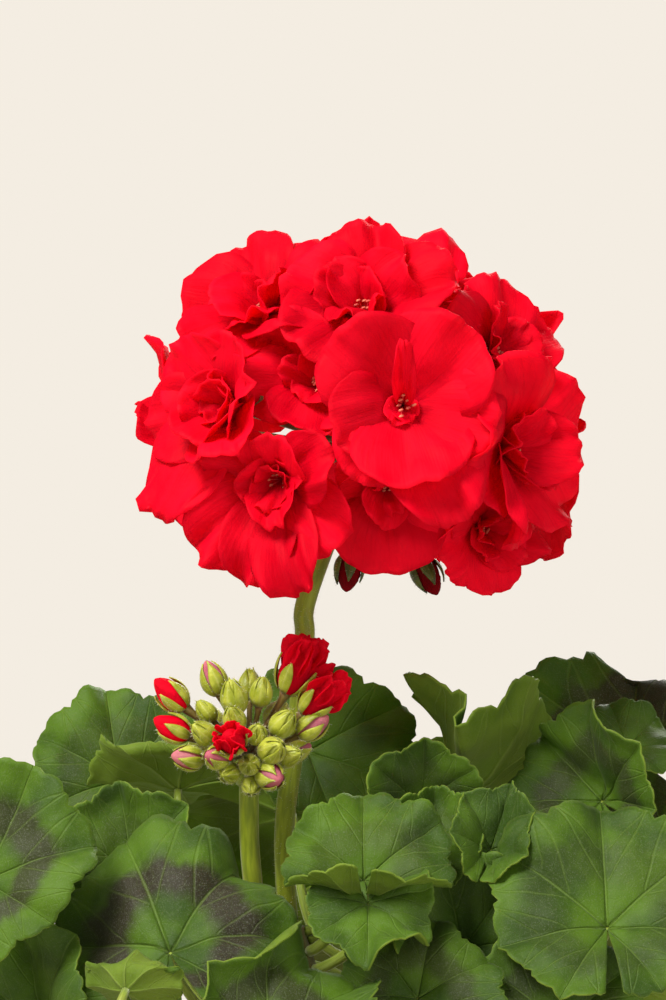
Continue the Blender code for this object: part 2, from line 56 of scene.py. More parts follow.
# ---- shapes
# A leaf stands where its petiole ends. turn: the way its upper face looks, 0 towards -Y and 90 towards +X.
# lift: how far it looks up. spin: the midrib's turn from straight up, anticlockwise as the face is seen.
# cup, ruffle: how the blade leaves its plane, as shares of its radius. zone: how dark its ring is.
# bends: (toward, start, angle, over). The blade beyond start, on the side toward that many degrees clockwise
# from the midrib, turns by the angle towards the upper face, over a length given as a share of the radius.
Leaf = namedtuple("Leaf", "name x y z radius turn lift spin cup ruffle zone bends")
FOLD = ((90, 0.02, 25, 0.15), (-90, 0.02, 25, 0.15))
LEAVES = [Leaf(*row) for row in (
    ("leaf_left_low", -70, -42, 45, 24, -25, 25, 20, 0.1, 0.05, 0.2, FOLD),
    ("leaf_left_front", -84, -45, 80, 30, -14, 26, -20, 0.05, 0.04, 1.0,
     ((60, 0.4, -30, 0.5), (-120, 0.5, -35, 0.4))),
    ("leaf_left_inner", -37, 5, 100, 26, 178, 58, -90, 0.1, 0.1, 0.1,
     ((90, 0.5, 40, 0.4), (-90, 0.5, 95, 0.25))),
    ("leaf_left_back", -54, 38, 99, 29, 0, 20, 10, 0.0, 0.04, 0.4, ((0, 0.4, -30, 0.6),)),
    ("leaf_bottom", -12, -82, 45, 30, 4, 46, 0, 0.1, 0.05, 0.9, ((-60, 0.3, 85, 0.5), (40, 0.5, -40, 0.4))),
    ("leaf_bottom_right", 24, -62, 53, 23, -4, 40, -10, 0.0, 0.05, 0.7,
     ((90, 0.4, -30, 0.4), (-90, 0.5, -25, 0.4))),
    ("leaf_centre_left", -37, -54, 64, 38, -6, 48, 23, 0.05, 0.06, 1.2,
     ((-90, 0.0, -36, 0.12), (100, 0.1, -18, 0.4), (40, 0.6, -30, 0.3))),
    ("leaf_front_small", 12, -61, 76, 19, 0, 48, 180, -0.05, 0.14, 0.0,
     ((180, 0.1, -35, 0.3), (0, 0.5, 10, 0.4))),
    ("leaf_front", 11, -56, 81, 25, 0, 34, 0, 0.0, 0.04, 0.35,
     ((180, 0.05, 80, 0.3), (180, 0.4, -95, 0.25), (90, 0.5, -30, 0.4), (-90, 0.6, -30, 0.3))),
    ("leaf_curled", -46, -80, 57, 16, 160, 30, 0, 0.3, 0.08, 0.0, ((0, 0.2, 90, 0.4),)),
    ("leaf_behind", -48, -18, 79, 23, -8, 14, 10, 0.0, 0.05, 0.4, FOLD),
    ("leaf_right_low", 60, -60, 46, 25, 8, 34, 0, 0.0, 0.05, 0.6, ((90, 0.3, -30, 0.4),)),
    ("leaf_right_dark", 36, -43, 63, 27, 10, 20, 10, 0.0, 0.05, 0.3, FOLD),
    ("leaf_right_front", 71, -57, 70, 35, 2, 38, 0, 0.0, 0.05, 0.3,
     ((-150, 0.5, 25, 0.4), (100, 0.5, -25, 0.4), (-60, 0.6, -35, 0.3))),
    ("leaf_right_inner", 43, -40, 87, 17, 4, 25, -20, 0.1, 0.05, 0.0,
     ((90, 0.0, 45, 0.15), (-90, 0.0, 25, 0.15))),
    ("leaf_right_folded", 72, -18, 98, 26, -10, 38, 42, 0.0, 0.04, 0.8,
     ((90, 0.0, 60, 0.1), (-60, 0.5, -30, 0.4))),
    ("leaf_right_back", 84, 25, 106, 39, -24, 26, 60, 0.0, 0.03, 1.4,
     ((86, 0.46, -140, 0.12), (-60, 0.4, -25, 0.4))),
    ("leaf_right_edge", 80, -3, 110, 16, 10, 45, 10, 0.0, 0.03, 0.3, ((90, 0.3, -30, 0.4),)),
    ("leaf_shaded", 29, -33, 86, 17, 0, 20, 0, 0.1, 0.05, 0.3, FOLD),
    ("leaf_cupped", 26, -18, 96, 19, 12, -6, 0, 0.3, 0.08, 0.3, ()),
    ("leaf_upright", -3, 18, 108, 25, 8, 16, -65, 0.1, 0.03, 0.2,
     ((-90, 0.3, -30, 0.4), (0, 0.5, -30, 0.4))),
    ("leaf_beneath", 39, 2, 101, 37, 172, 66, 0, 0.0, 0.05, 0.2,
     ((-90, 0.0, 48, 0.15), (90, 0.0, 62, 0.15), (-90, 0.7, 40, 0.25))),
    ("leaf_back_left_low", -42, 62, 52, 38, -145, 45, 180, 0.0, 0.05, 0.8, ((180, 0.3, -25, 0.5),)),
    ("leaf_back_low", 14, 80, 50, 38, 175, 45, 180, -0.05, 0.04, 0.9, ((0, 0.4, -25, 0.5),)),
    ("leaf_back_right_low", 64, 50, 56, 38, 130, 45, 180, 0.0, 0.05, 0.8, ((60, 0.3, 30, 0.4),)),
    ("leaf_back_left", -76, 24, 72, 36, -110, 45, 180, -0.05, 0.05, 0.7, ((-60, 0.3, -30, 0.5),)),
    ("leaf_back", -8, 58, 90, 38, -170, 44, 180, -0.05, 0.05, 0.9, ((0, 0.4, -35, 0.5),)),
    ("leaf_back_right", 42, 56, 94, 34, 150, 50, 180, 0.0, 0.04, 0.8, ((-40, 0.4, -30, 0.5),)),
)]
LEAF_THICKNESS = 0.0005
LEAF_RINGS = 20
INNER_RING = 0.02  # this and the shares below are of the blade's radius
LOBES = 7
TEETH_PER_LOBE = 4
SAMPLES_PER_TOOTH = 4
NOTCH = radians(12)  # the gap between the two lobes beside the petiole
LOBE_ANGLE = (tau - NOTCH) / LOBES
BACK_SHORTENING = 0.3
LOBE_DEPTH = 0.12
TOOTH_DEPTH = 0.04
UNEVEN_LOBES = 0.16
PLEAT = 0.12
FINE_PLEAT = 0.0264
SWELL = 0.3
DIMPLE = 0.05
HOLLOW = 0.07  # the dip over the petiole's end
HOLLOW_WIDTH = 0.25
PETIOLE_RADIUS = 0.0012
PETIOLE_STEPS = 18

# turn, lift, reach: the floret's place from the hub. face_turn, face_lift: the way it looks.
# spin turns its petals, open is how wide they spread, full is how many small petals fill its middle.
Floret = namedtuple("Floret", "name turn lift reach face_turn face_lift spin size open full")
FLORETS = [Floret(*row) for row in (
    ("floret_front", 10, 10, 58, 2, 0, 0, 25, 88, 5),
    ("floret_left", -42, 11, 55, -42, 10, 10, 21, 56, 8),
    ("floret_lower_left", -26, -10, 52, -20, -8, 0, 20.5, 70, 7),
    ("floret_upper_left", -46, 45, 53, -30, 36, 20, 20, 72, 5),
    ("floret_top", 0, 46, 52, -6, 34, 0, 21, 68, 6),
    ("floret_top_right", 50, 62, 49, 40, 50, 40, 18, 74, 4),
    ("floret_upper_right", 60, 32, 50, 42, 24, 0, 18, 70, 5),
    ("floret_right", 48, 0, 53, 52, 0, 20, 24, 70, 5),
    ("floret_lower_right", 47, -25, 50, 42, -12, 50, 16.5, 66, 5),
    ("floret_bottom", 8, -16, 46, 0, -26, 0, 15.5, 78, 3),
    ("floret_inner", -17, 22, 46, -14, 18, 30, 17, 60, 4),
    ("floret_crown", -120, 70, 48, -120, 66, 0, 21, 82, 4),
    ("floret_side_left", -93, 4, 48, -84, -6, 10, 23, 82, 5),
    ("floret_back_left", -135, 28, 50, -135, 26, 0, 23, 82, 5),
    ("floret_back", 178, 32, 50, 178, 30, 30, 23, 84, 6),
    ("floret_back_right", 128, 34, 50, 128, 30, 10, 23, 82, 5),
    ("floret_side_right", 102, -8, 48, 98, -6, 0, 23, 80, 6),
    ("floret_low_back", 170, -10, 47, 172, -8, 20, 22, 80, 5),
)]

# The petals of the florets seen closely: azimuth anticlockwise from straight up, length and half width in
# millimetres, the angles from the floret's axis at its throat and its tip, its cup and its ruffle.
Petal = namedtuple("Petal", "azimuth length width start end cup ruffle")
SHAPED = {
    "floret_left": (
        (140, 36, 13.0, 46, 98, 0.08, 0.04),
        (98, 27, 12.0, 36, 84, 0.10, 0.06),
        (38, 25, 12.0, 34, 76, 0.12, 0.06),
        (-28, 23, 11.5, 30, 68, 0.15, 0.06),
        (-92, 22, 11.5, 28, 60, 0.20, 0.07),
        (-152, 25, 12.0, 30, 66, 0.20, 0.06),
        (172, 21, 10.5, 16, 46, 0.50, 0.05),
        (74, 17, 8.5, 12, 42, 0.50, 0.08),
        (-60, 16, 8.0, 12, 40, 0.50, 0.08),
        (-118, 14, 7.0, 10, 36, 0.60, 0.08),
        (12, 14, 7.0, 10, 34, 0.60, 0.08),
        (130, 12, 5.5, 8, 30, 0.60, 0.09),
    ),
    "floret_bottom": (
        (180, 24, 14.5, 26, 72, 0.16, 0.03),
        (112, 19, 9.0, 30, 84, 0.10, 0.05),
        (-112, 20, 9.0, 30, 84, 0.10, 0.05),
        (38, 18, 9.0, 30, 90, 0.05, 0.05),
        (-38, 18, 9.0, 30, 90, 0.05, 0.05),
        (158, 14, 6.5, 8, 48, 0.30, 0.06),
        (-150, 11, 4.0, 8, 40, 0.40, 0.08),
        (10, 10, 4.0, 8, 40, 0.50, 0.08),
    ),
    "floret_lower_left": (
        (-10, 20, 9.5, 20, 58, 0.25, 0.08),
        (60, 23, 10.0, 34, 84, 0.10, 0.09),
        (-68, 22, 10.0, 34, 80, 0.16, 0.09),
        (-164, 34, 9.0, 30, 86, 0.30, 0.06),
        (170, 31, 9.5, 28, 82, 0.25, 0.07),
        (132, 31, 12.0, 34, 88, 0.05, 0.07),
        (-132, 27, 11.0, 34, 88, 0.05, 0.08),
        (96, 15, 7.0, 16, 52, 0.50, 0.09),
        (-96, 14, 6.5, 14, 46, 0.60, 0.09),
        (-166, 19, 6.5, 14, 56, 0.70, 0.08),
        (160, 15, 5.0, 10, 46, 0.60, 0.10),
        (20, 12, 5.0, 10, 40, 0.60, 0.10),
        (-40, 11, 4.5, 10, 36, 0.60, 0.10),
    ),
    "floret_front": (
        (-38, 28, 15.5, 40, 92, 0.10, 0.03),
        (40, 27, 15.0, 42, 96, 0.08, 0.03),
        (-104, 27, 12.5, 40, 84, 0.10, 0.04),
        (110, 22, 12.0, 40, 80, 0.14, 0.04),
        (-170, 27, 15.5, 34, 66, 0.14, 0.03),
        (-154, 35, 12.5, 42, 94, 0.05, 0.06),
        (142, 24, 11.0, 44, 96, 0.05, 0.04),
        (2, 24, 3.0, 16, 70, 1.0, 0.05),
        (140, 9, 4.0, 15, 60, 0.5, 0.09),
        (-150, 8, 3.5, 15, 50, 0.6, 0.09),
        (78, 7, 2.6, 15, 52, 0.7, 0.06),
    ),
}

# A bud of the umbel in front: where its middle stands from the umbel's hub, its radius, and how far on it is.
Bud = namedtuple("Bud", "name x y z radius kind")
CLUSTER_BUDS = [Bud(*row) for row in (
    ("opening_bud_high", 12.5, -5, 25.5, 4.8, "opening"),
    ("opening_bud_low", 18.2, -7, 18.5, 4.3, "opening"),
    ("red_bud_high", -20.0, -4, 19.0, 3.7, "red"),
    ("red_bud_low", -19.6, -6, 10.5, 3.5, "red"),
    ("red_bud_right", 16.6, -7, 11.0, 3.2, "pink"),
    ("open_bud", -4.0, -17, 7.9, 3.3, "open"),
)]
SMALL_BUDS = [Bud(*row) for row in (
    ("pink_low_left", -15.5, -9, 3.0, 3.1, "pink"),
    ("pink_top", -9.2, -3, 23.0, 3.2, "pale"),
    ("pink_below", 5.9, -13, -1.5, 3.4, "pale"),
    ("dark_tip", -8.2, -14, 3.4, 2.9, "pale"),
    ("green_high_left", -3.8, -6, 18.4, 3.2, "green"),
    ("green_high_right", 3.2, -5, 19.6, 2.7, "green"),
    ("green_middle_left", -3.6, -11, 13.0, 2.7, "green"),
    ("green_left", -11.3, -9, 9.3, 2.8, "green"),
    ("green_right", 8.9, -9, 11.7, 3.0, "green"),
    ("green_middle", 2.3, -12, 9.3, 2.4, "green"),
    ("green_near", 6.3, -14, 5.3, 3.2, "green"),
    ("green_low_right", 10.4, -9, 3.4, 2.6, "green"),
    ("green_low", 0.4, -14, 1.6, 2.5, "green"),
    ("green_low_left", -5.0, -12, -0.8, 2.5, "green"),
    ("green_lowest", 0.8, -11, -4.2, 2.3, "green"),
    ("green_far_left", -11.0, -3, 14.5, 2.3, "green"),
    ("back_left", -10.0, 9, 12.0, 2.9, "green"),
    ("back_right", 7.0, 11, 13.0, 3.0, "green"),
    ("back_middle", -1.0, 14, 6.0, 2.8, "green"),
    ("back_low_left", -13.0, 7, 4.0, 2.6, "green"),
    ("back_low_right", 12.5, 7, 4.0, 2.7, "pale"),
    ("back_high", 0.0, 5, 21.0, 2.8, "green"),
)]
# Buds that hang under the flower head: the way and reach of each from the hub, and the way it leaves by.
HangingBud = namedtuple("HangingBud", "name turn lift reach leave_turn leave_lift radius")
HANGING_BUDS = [HangingBud(*row) for row in (
    ("hanging_bud_middle", -15, -66, 35, -8, -38, 3.6),
    ("hanging_bud_right", 62, -60, 38, 62, -60, 3.8),
    ("hanging_bud_left", -75, -42, 40, -80, -15, 3.0),
)]


def seeded(name):
    """The same random numbers for the same piece, run after run."""
    return random.Random(name)


def place_of(x, y, z):
    return Vector((x * MM, y * MM, SOIL_TOP + z * MM))


BUD_HUB = place_of(-18, -20, 106)


def direction(turn, lift):
    turn, lift = radians(turn), radians(lift)
    level = cos(lift)
    return Vector((level * sin(turn), -level * cos(turn), sin(lift)))


def facing(place, normal, spin=0.0):
    """The frame at a place with +Z along the normal, and +Y spun from straight up."""
    up = Vector((0, 0, 1))
    up = (up - normal * up.dot(normal)).normalized()
    up = Matrix.Rotation(radians(spin), 3, normal) @ up
    turned = Matrix((up.cross(normal), up, normal)).transposed()
    return Matrix.Translation(place) @ turned.to_4x4()


def noise_at(x, y, z):
    return noise.noise(Vector((x, y, z)))


# ---- mesh building
def new_object(name, data):
    obj = bpy.data.objects.new(name, data)
    bpy.context.scene.collection.objects.link(obj)
    return obj


class Build:
    """One piece's mesh as it grows: points, faces, each face's material, and each point's pattern."""

    def __init__(self):
        self.points = []
        self.faces = []
        self.slots = []
        self.pattern = []
        self.count = 0

    def add(self, points, faces, slots, pattern, place=None):
        points = np.asarray(points, float).reshape(-1, 3)
        if place is not None:
            matrix = np.array(place)
            points = points @ matrix[:3, :3].T + matrix[:3, 3]
        self.points.append(points)
        self.pattern.append(np.asarray(pattern, float).reshape(-1, 3))
        self.faces += [[corner + self.count for corner in face] for face in faces]
        self.slots += slots
        self.count += len(points)

    def piece(self, name, materials, nodes):
        mesh = bpy.data.meshes.new(name)
        mesh.from_pydata(np.concatenate(self.points).tolist(), [], self.faces)
        mesh.polygons.foreach_set("material_index", self.slots)
        mesh.polygons.foreach_set("use_smooth", [True] * len(self.faces))
        layer = mesh.attributes.new("pattern", "FLOAT_VECTOR", "POINT")
        layer.data.foreach_set("vector", np.concatenate(self.pattern).ravel())
        for material in materials:
            mesh.materials.append(material)
        mesh.update()
        obj = new_object(name, mesh)
        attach(obj, "root")
        if nodes:
            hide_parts(*nodes)


def add_sheet(build, grid, pattern, thickness, upper, under, place=None):
    """A closed thin sheet from a grid of points of shape (rows, columns, 3), with its upper face to +Z."""
    rows, columns = grid.shape[:2]
    along = np.gradient(grid, axis=0)
    across = np.gradient(grid, axis=1)
    normal = np.cross(along, across)
    normal /= np.maximum(np.linalg.norm(normal, axis=2, keepdims=True), 1e-12)
    thin = np.broadcast_to(np.asarray(thickness, float), (rows, columns))[..., None] / 2
    points = np.concatenate([(grid + normal * thin).reshape(-1, 3), (grid - normal * thin).reshape(-1, 3)])
    index = np.arange(rows * columns).reshape(rows, columns)
    below = index + rows * columns
    a, b, c, d = index[:-1, :-1], index[1:, :-1], index[1:, 1:], index[:-1, 1:]
    top = np.stack([a, b, c, d], -1).reshape(-1, 4)
    a, b, c, d = below[:-1, :-1], below[1:, :-1], below[1:, 1:], below[:-1, 1:]
    bottom = np.stack([d, c, b, a], -1).reshape(-1, 4)
    edge = np.concatenate([index[:-1, 0], index[-1, :-1], index[:0:-1, -1], index[0, :0:-1]])
    following = np.roll(edge, -1)
    rim = np.stack([edge, edge + rows * columns, following + rows * columns, following], -1)
    faces = np.concatenate([top, bottom, rim])
    slots = [upper] * len(top) + [under] * (len(bottom) + len(rim))
    build.add(points, faces.tolist(), slots, np.concatenate([pattern.reshape(-1, 3)] * 2), place)


def ring_faces(rings, sides):
    """The faces of a closed tube whose points go round it ring by ring, with its two end caps."""
    faces = []
    for ring in range(rings - 1):
        for step in range(sides):
            a, b = ring * sides + step, ring * sides + (step + 1) % sides
            faces.append([a, b, b + sides, a + sides])
    return faces + [list(range(sides))[::-1], list(range((rings - 1) * sides, rings * sides))]


def add_tube(build, route, radii, slot, sides=10, place=None):
    """A closed round tube along the route. Its pattern is (angle share, length so far, radius)."""
    route = [Vector(point) for point in route]
    last = len(route) - 1
    ways = [(route[min(i + 1, last)] - route[max(i - 1, 0)]).normalized() for i in range(last + 1)]
    side = ways[0].orthogonal().normalized()
    points, pattern, length = [], [], 0.0
    for number, (centre, way, radius) in enumerate(zip(route, ways, radii)):
        side = (side - way * side.dot(way)).normalized()
        other = way.cross(side)
        length += (centre - route[number - 1]).length if number else 0.0
        for step in range(sides):
            angle = tau * step / sides
            points.append(centre + (side * cos(angle) + other * sin(angle)) * radius)
            pattern.append((step / sides, length, radius))
    faces = ring_faces(len(route), sides)
    build.add(points, faces, [slot] * len(faces), pattern, place)


def smooth_route(corners, steps):
    """Points along a soft curve through the corners."""
    corners = [Vector(corner) for corner in corners]
    points = []
    for index in range(len(corners) - 1):
        before = corners[max(index - 1, 0)]
        start, end = corners[index], corners[index + 1]
        after = corners[min(index + 2, len(corners) - 1)]
        for step in range(steps):
            t = step / steps
            points.append(
                0.5 * (2 * start + (end - before) * t
                       + (2 * before - 5 * start + 4 * end - after) * t ** 2
                       + (3 * start - before - 3 * end + after) * t ** 3)
            )
    return points + [corners[-1]]


def bezier(start, near, far, end, steps):
    points = []
    for step in range(steps + 1):
        t = step / steps
        s = 1 - t
        points.append(start * s ** 3 + near * 3 * s * s * t + far * 3 * s * t * t + end * t ** 3)
    return points


# ---- materials
class Value:
    """What a node gives. Sums with it add Math nodes to the same tree."""

    def __init__(self, nodes, socket):
        self.nodes = nodes
        self.socket = socket

    def combine(self, operation, other=None):
        return self.nodes.math(operation, self, other)

    __add__ = partialmethod(combine, "ADD")
    __sub__ = partialmethod(combine, "SUBTRACT")
    __mul__ = partialmethod(combine, "MULTIPLY")
    __truediv__ = partialmethod(combine, "DIVIDE")
    __pow__ = partialmethod(combine, "POWER")
    __abs__ = partialmethod(combine, "ABSOLUTE")


class Nodes:
    """A short way to write the node tree of a material or a world."""

    def __init__(self, name, kind="Material"):
        self.owner = (bpy.data.materials if kind == "Material" else bpy.data.worlds).new(name)
        self.owner.use_nodes = True
        self.tree = self.owner.node_tree
        self.tree.nodes.clear()
        self.output = self.tree.nodes.new("ShaderNodeOutput" + kind)

    def link(self, value, socket):
        """Joins a value to the socket, or sets the socket to a number or to a colour of three numbers."""
        if isinstance(value, Value):
            self.tree.links.new(value.socket, socket)
        elif isinstance(value, tuple):
            socket.default_value = (*value, 1)
        elif value is not None:
            socket.default_value = value

    def add(self, kind, inputs, output=0, **settings):
        """A new node with these settings and inputs, and what its output gives."""
        node = self.tree.nodes.new("ShaderNode" + kind)
        for name, value in settings.items():
            setattr(node, name, value)
        for name, value in inputs.items():
            self.link(value, node.inputs[name])
        return Value(self, node.outputs[output])

    def math(self, operation, a, b=None):
        return self.add("Math", {0: a, 1: b}, operation=operation)

    def split(self, vector):
        node = self.tree.nodes.new("ShaderNodeSeparateXYZ")
        self.link(vector, node.inputs[0])
        return [Value(self, socket) for socket in node.outputs]

    def join(self, x, y, z):
        return self.add("CombineXYZ", {"X": x, "Y": y, "Z": z})

    def pattern(self):
        """The three numbers that the mesh holds at each point."""
        return self.split(self.add("Attribute", {}, "Vector", attribute_name="pattern"))

    def place(self):
        return self.add("TexCoord", {}, "Object")

    def noise(self, vector, scale, detail=3.0, roughness=0.5):
        inputs = {"Vector": vector, "Scale": scale, "Detail": detail, "Roughness": roughness}
        return self.add("TexNoise", inputs, "Fac")

    def cells(self, vector, scale, feature="DISTANCE_TO_EDGE"):
        return self.add("TexVoronoi", {"Vector": vector, "Scale": scale}, "Distance", feature=feature)

    def remap(self, value, low, high, to_low=0.0, to_high=1.0):
        inputs = dict(enumerate((value, low, high, to_low, to_high)))
        return self.add("MapRange", inputs, interpolation_type="SMOOTHSTEP")

    def mix(self, share, first, second):
        node = self.tree.nodes.new("ShaderNodeMix")
        node.data_type = "RGBA"
        colour_sockets = [socket for socket in node.inputs if socket.type == "RGBA"]
        for value, socket in zip((share, first, second), (node.inputs["Factor"], *colour_sockets)):
            self.link(value, socket)
        return Value(self, next(socket for socket in node.outputs if socket.type == "RGBA"))

    def bump(self, height, strength, distance):
        return self.add("Bump", {"Height": height, "Strength": strength, "Distance": distance}, "Normal")

    def surface(self, colour, roughness, normal=None, **others):
        inputs = {"Base Color": colour, "Roughness": roughness, "Normal": normal}
        inputs.update({name.replace("_", " "): value for name, value in others.items()})
        return self.add("BsdfPrincipled", inputs)

    def mix_shaders(self, share, first, second):
        return self.add("MixShader", {0: share, 1: first, 2: second})

    def let_through(self, shader, colour, share, normal):
        """Mixes in light that comes through from behind."""
        through = self.add("BsdfTranslucent", {"Color": colour, "Normal": normal})
        return self.mix_shaders(share, shader, through)

    def done(self, shader):
        self.link(shader, self.output.inputs["Surface"])
        return self.owner


def rgb(text):
    """A colour written as in a web page, in linear light."""
    values = [int(text[at:at + 2], 16) / 255 for at in (0, 2, 4)]
    return tuple(v / 12.92 if v <= 0.04045 else ((v + 0.055) / 1.055) ** 2.4 for v in values)


def colours(palette):
    return [rgb(text) for text in palette.split()]


def vein_mask(nodes, x, y, radius):
    """Main veins that run from the petiole to each lobe, and the forks that leave them for the teeth."""
    lobe = nodes.math("ARCTAN2", x, y) / LOBE_ANGLE
    wander = (nodes.noise(nodes.join(x, y, 0.0), 4.0) - 0.5) * 0.035
    away = abs(radius * (nodes.math("PINGPONG", lobe, 0.5) * LOBE_ANGLE + wander))
    width = radius * -0.011 + 0.017
    veins = nodes.remap(away / width, 0.3, 1.5, 1.0, 0.0)
    for start, spread, share in ((0.34, 0.5, 0.55), (0.6, 0.75, 0.45)):
        run = radius - start
        curve = nodes.math("MAXIMUM", run, 0.0) ** 0.85 * spread
        fork = abs(away - curve - wander)
        line = nodes.remap(fork, 0.002, 0.014, share, 0.0) * nodes.remap(run, 0.0, 0.06)
        veins = nodes.math("MAXIMUM", veins, line)
    return veins


def leaf_material(name, palette, vein_height, through_share, roughness):
    """A leaf face: veins, a dark zone, a paler rim and a fine hairy grain. The pattern holds (x, y, zone)."""
    deep, light, band, vein, edge, through = colours(palette)
    nodes = Nodes(name)
    x, y, zone = nodes.pattern()
    flat = nodes.join(x, y, 0.0)
    radius = (x * x + y * y) ** 0.5
    veins = vein_mask(nodes, x, y, radius)
    patches = nodes.noise(nodes.place(), 70.0, 4.0)
    net = nodes.remap(nodes.cells(flat, 13.0), 0.0, 0.09, 1.0, 0.0)
    colour = nodes.mix(nodes.remap(patches, 0.32, 0.68), deep, light)
    wavy = radius + (patches - 0.5) * 0.35
    banded = nodes.remap(wavy, 0.28, 0.46) * nodes.remap(wavy, 0.62, 0.78, 1.0, 0.0) * zone
    colour = nodes.mix(banded * 0.85, colour, band)
    colour = nodes.mix(net * 0.05, colour, vein)
    colour = nodes.mix(veins * 0.34, colour, vein)
    colour = nodes.mix(nodes.remap(radius, 0.97, 1.0, 0.0, 0.2), colour, edge)
    grain = nodes.noise(nodes.place(), 3200.0)
    fuzz = nodes.remap(grain, 0.5, 0.72) * (banded * 0.16 + 0.2)
    colour = nodes.mix(fuzz, colour, rgb("8C927A"))
    relief = veins * vein_height + net * (vein_height * 0.08) + grain * 0.18
    normal = nodes.bump(relief + nodes.noise(flat, 9.0, 2.0) * 0.5, 0.55, 0.0006)
    shader = nodes.surface(
        colour, grain * 0.2 + roughness, normal, Sheen_Weight=0.06, Sheen_Roughness=0.4,
        Sheen_Tint=(0.8, 0.9, 0.6), Specular_IOR_Level=0.22)
    return nodes.done(nodes.let_through(shader, through, through_share, normal))


def petal_material(name, palette):
    """A petal: fine lengthwise veins, a deeper throat, and tips lightened by painted light coming through. The
    pattern holds (across, along, shade).
    """
    deep, bright, line, throat, through = colours(palette)
    nodes = Nodes(name)
    across, along, shade = nodes.pattern()
    lines = nodes.noise(nodes.join(across * 16.0, along * 1.6, shade), 1.6)
    mottle = nodes.noise(nodes.place(), 160.0)
    colour = nodes.mix(nodes.remap(mottle, 0.3, 0.7), deep, bright)
    own = nodes.noise(nodes.join(shade * 7.3, 0.0, 0.0), 1.0, 0.0)
    colour = nodes.mix(nodes.remap(own, 0.3, 0.7, 0.0, 0.6), colour, line)
    # Painted light: the petal tips are lightened with the colour of light coming through them, as though lit
    # from behind.
    colour = nodes.mix(nodes.remap(along + mottle * 0.1, 0.93, 1.04, 0.0, 0.5), colour, through)
    marked = nodes.remap(lines, 0.5, 0.72) * nodes.remap(along, 0.25, 0.95, 0.65, 0.28)
    colour = nodes.mix(marked, colour, line)
    colour = nodes.mix(nodes.remap(along, 0.0, 0.35, 0.6, 0.0), colour, throat)
    crinkle = nodes.noise(nodes.place(), 420.0)
    normal = nodes.bump(lines * 0.8 + mottle * 0.6 + crinkle, 0.42, 0.0005)
    rough = nodes.remap(mottle, 0.2, 0.8, 0.55, 0.75)
    shader = nodes.surface(colour, rough, normal, Specular_IOR_Level=0.08)
    return nodes.done(nodes.let_through(shader, through, 0.42, normal))


def sepal_material(name, palette):
    """Green with a paler middle rib and a reddish foot. The pattern holds (across, along, number)."""
    dark, light, rib, through = colours(palette)
    nodes = Nodes(name)
    across, along, _ = nodes.pattern()
    place = nodes.place()
    patches = nodes.noise(place, 300.0)
    colour = nodes.mix(nodes.remap(patches, 0.35, 0.65), dark, light)
    colour = nodes.mix(nodes.remap(abs(across), 0.0, 0.22, 0.45, 0.0), colour, rib)
    foot = nodes.remap(along + patches * 0.3, 0.1, 0.4, 0.55, 0.0)
    colour = nodes.mix(foot, colour, rgb("7A4A20"))
    normal = nodes.bump(patches + nodes.noise(place, 1800.0, 2.0), 0.3, 0.0004)
    rough = nodes.remap(patches, 0.3, 0.7, 0.4, 0.55)
    shader = nodes.surface(
        colour, rough, normal, Sheen_Weight=0.2, Sheen_Roughness=0.4, Sheen_Tint=(0.9, 0.9, 0.7))
    return nodes.done(nodes.let_through(shader, through, 0.15, normal))


def stalk_material(name, palette):
    """A soft hairy stem with lengthwise streaks. The pattern holds (angle share, length, radius)."""
    dark, light, blush = colours(palette)
    nodes = Nodes(name)
    around, along, _ = nodes.pattern()
    angle = around * tau
    ring = nodes.join(nodes.math("SINE", angle), nodes.math("COSINE", angle), along * 60.0)
    streaks = nodes.noise(ring, 2.2, 4.0)
    patches = nodes.noise(nodes.place(), 90.0)
    colour = nodes.mix(nodes.remap(streaks, 0.3, 0.7), dark, light)
    colour = nodes.mix(nodes.remap(patches, 0.55, 0.75, 0.0, 0.5), colour, blush)
    grain = nodes.noise(nodes.place(), 2200.0, 2.0)
    normal = nodes.bump(streaks + grain * 0.4, 0.4, 0.0005)
    shader = nodes.surface(
        colour, grain * 0.25 + 0.4, normal, Sheen_Weight=0.35, Sheen_Roughness=0.4,
        Sheen_Tint=(0.9, 0.95, 0.8))
    return nodes.done(nodes.let_through(shader, light, 0.12, normal))


def terracotta_material():
    """Dry fired clay: mottled, with a pale bloom low on the pot, dark specks and faint turning lines."""
    nodes = Nodes("terracotta")
    place = nodes.place()
    height = nodes.split(place)[2]
    broad = nodes.noise(place, 14.0, 5.0, 0.6)
    fine = nodes.noise(place, 420.0, 4.0)
    specks = nodes.cells(place, 900.0, "F1")
    colour = nodes.mix(nodes.remap(broad, 0.35, 0.65), rgb("A9562F"), rgb("C4714A"))
    colour = nodes.mix(nodes.remap(fine, 0.55, 0.75, 0.0, 0.35), colour, rgb("D39A78"))
    bloom = nodes.remap(broad, 0.5, 0.72) * nodes.remap(height, 0.1, 0.02, 0.0, 0.5)
    colour = nodes.mix(bloom, colour, rgb("D9BFA8"))
    colour = nodes.mix(nodes.remap(specks, 0.0, 0.25, 0.35, 0.0), colour, rgb("6E3A22"))
    turning = nodes.math("SINE", height * 2600.0)
    normal = nodes.bump(turning * 0.12 + fine + broad * 0.6, 0.35, 0.0006)
    return nodes.done(nodes.surface(colour, nodes.remap(fine, 0.3, 0.7, 0.75, 0.95), normal))


def soil_material(name, palette):
    dark, light = colours(palette)
    nodes = Nodes(name)
    place = nodes.place()
    clods = nodes.noise(place, 160.0, 6.0, 0.65)
    fine = nodes.noise(place, 1500.0)
    colour = nodes.mix(nodes.remap(clods, 0.35, 0.65), dark, light)
    normal = nodes.bump(clods + fine * 0.4, 0.7, 0.0015)
    return nodes.done(nodes.surface(colour, nodes.remap(fine, 0.3, 0.7, 0.85, 1.0), normal))


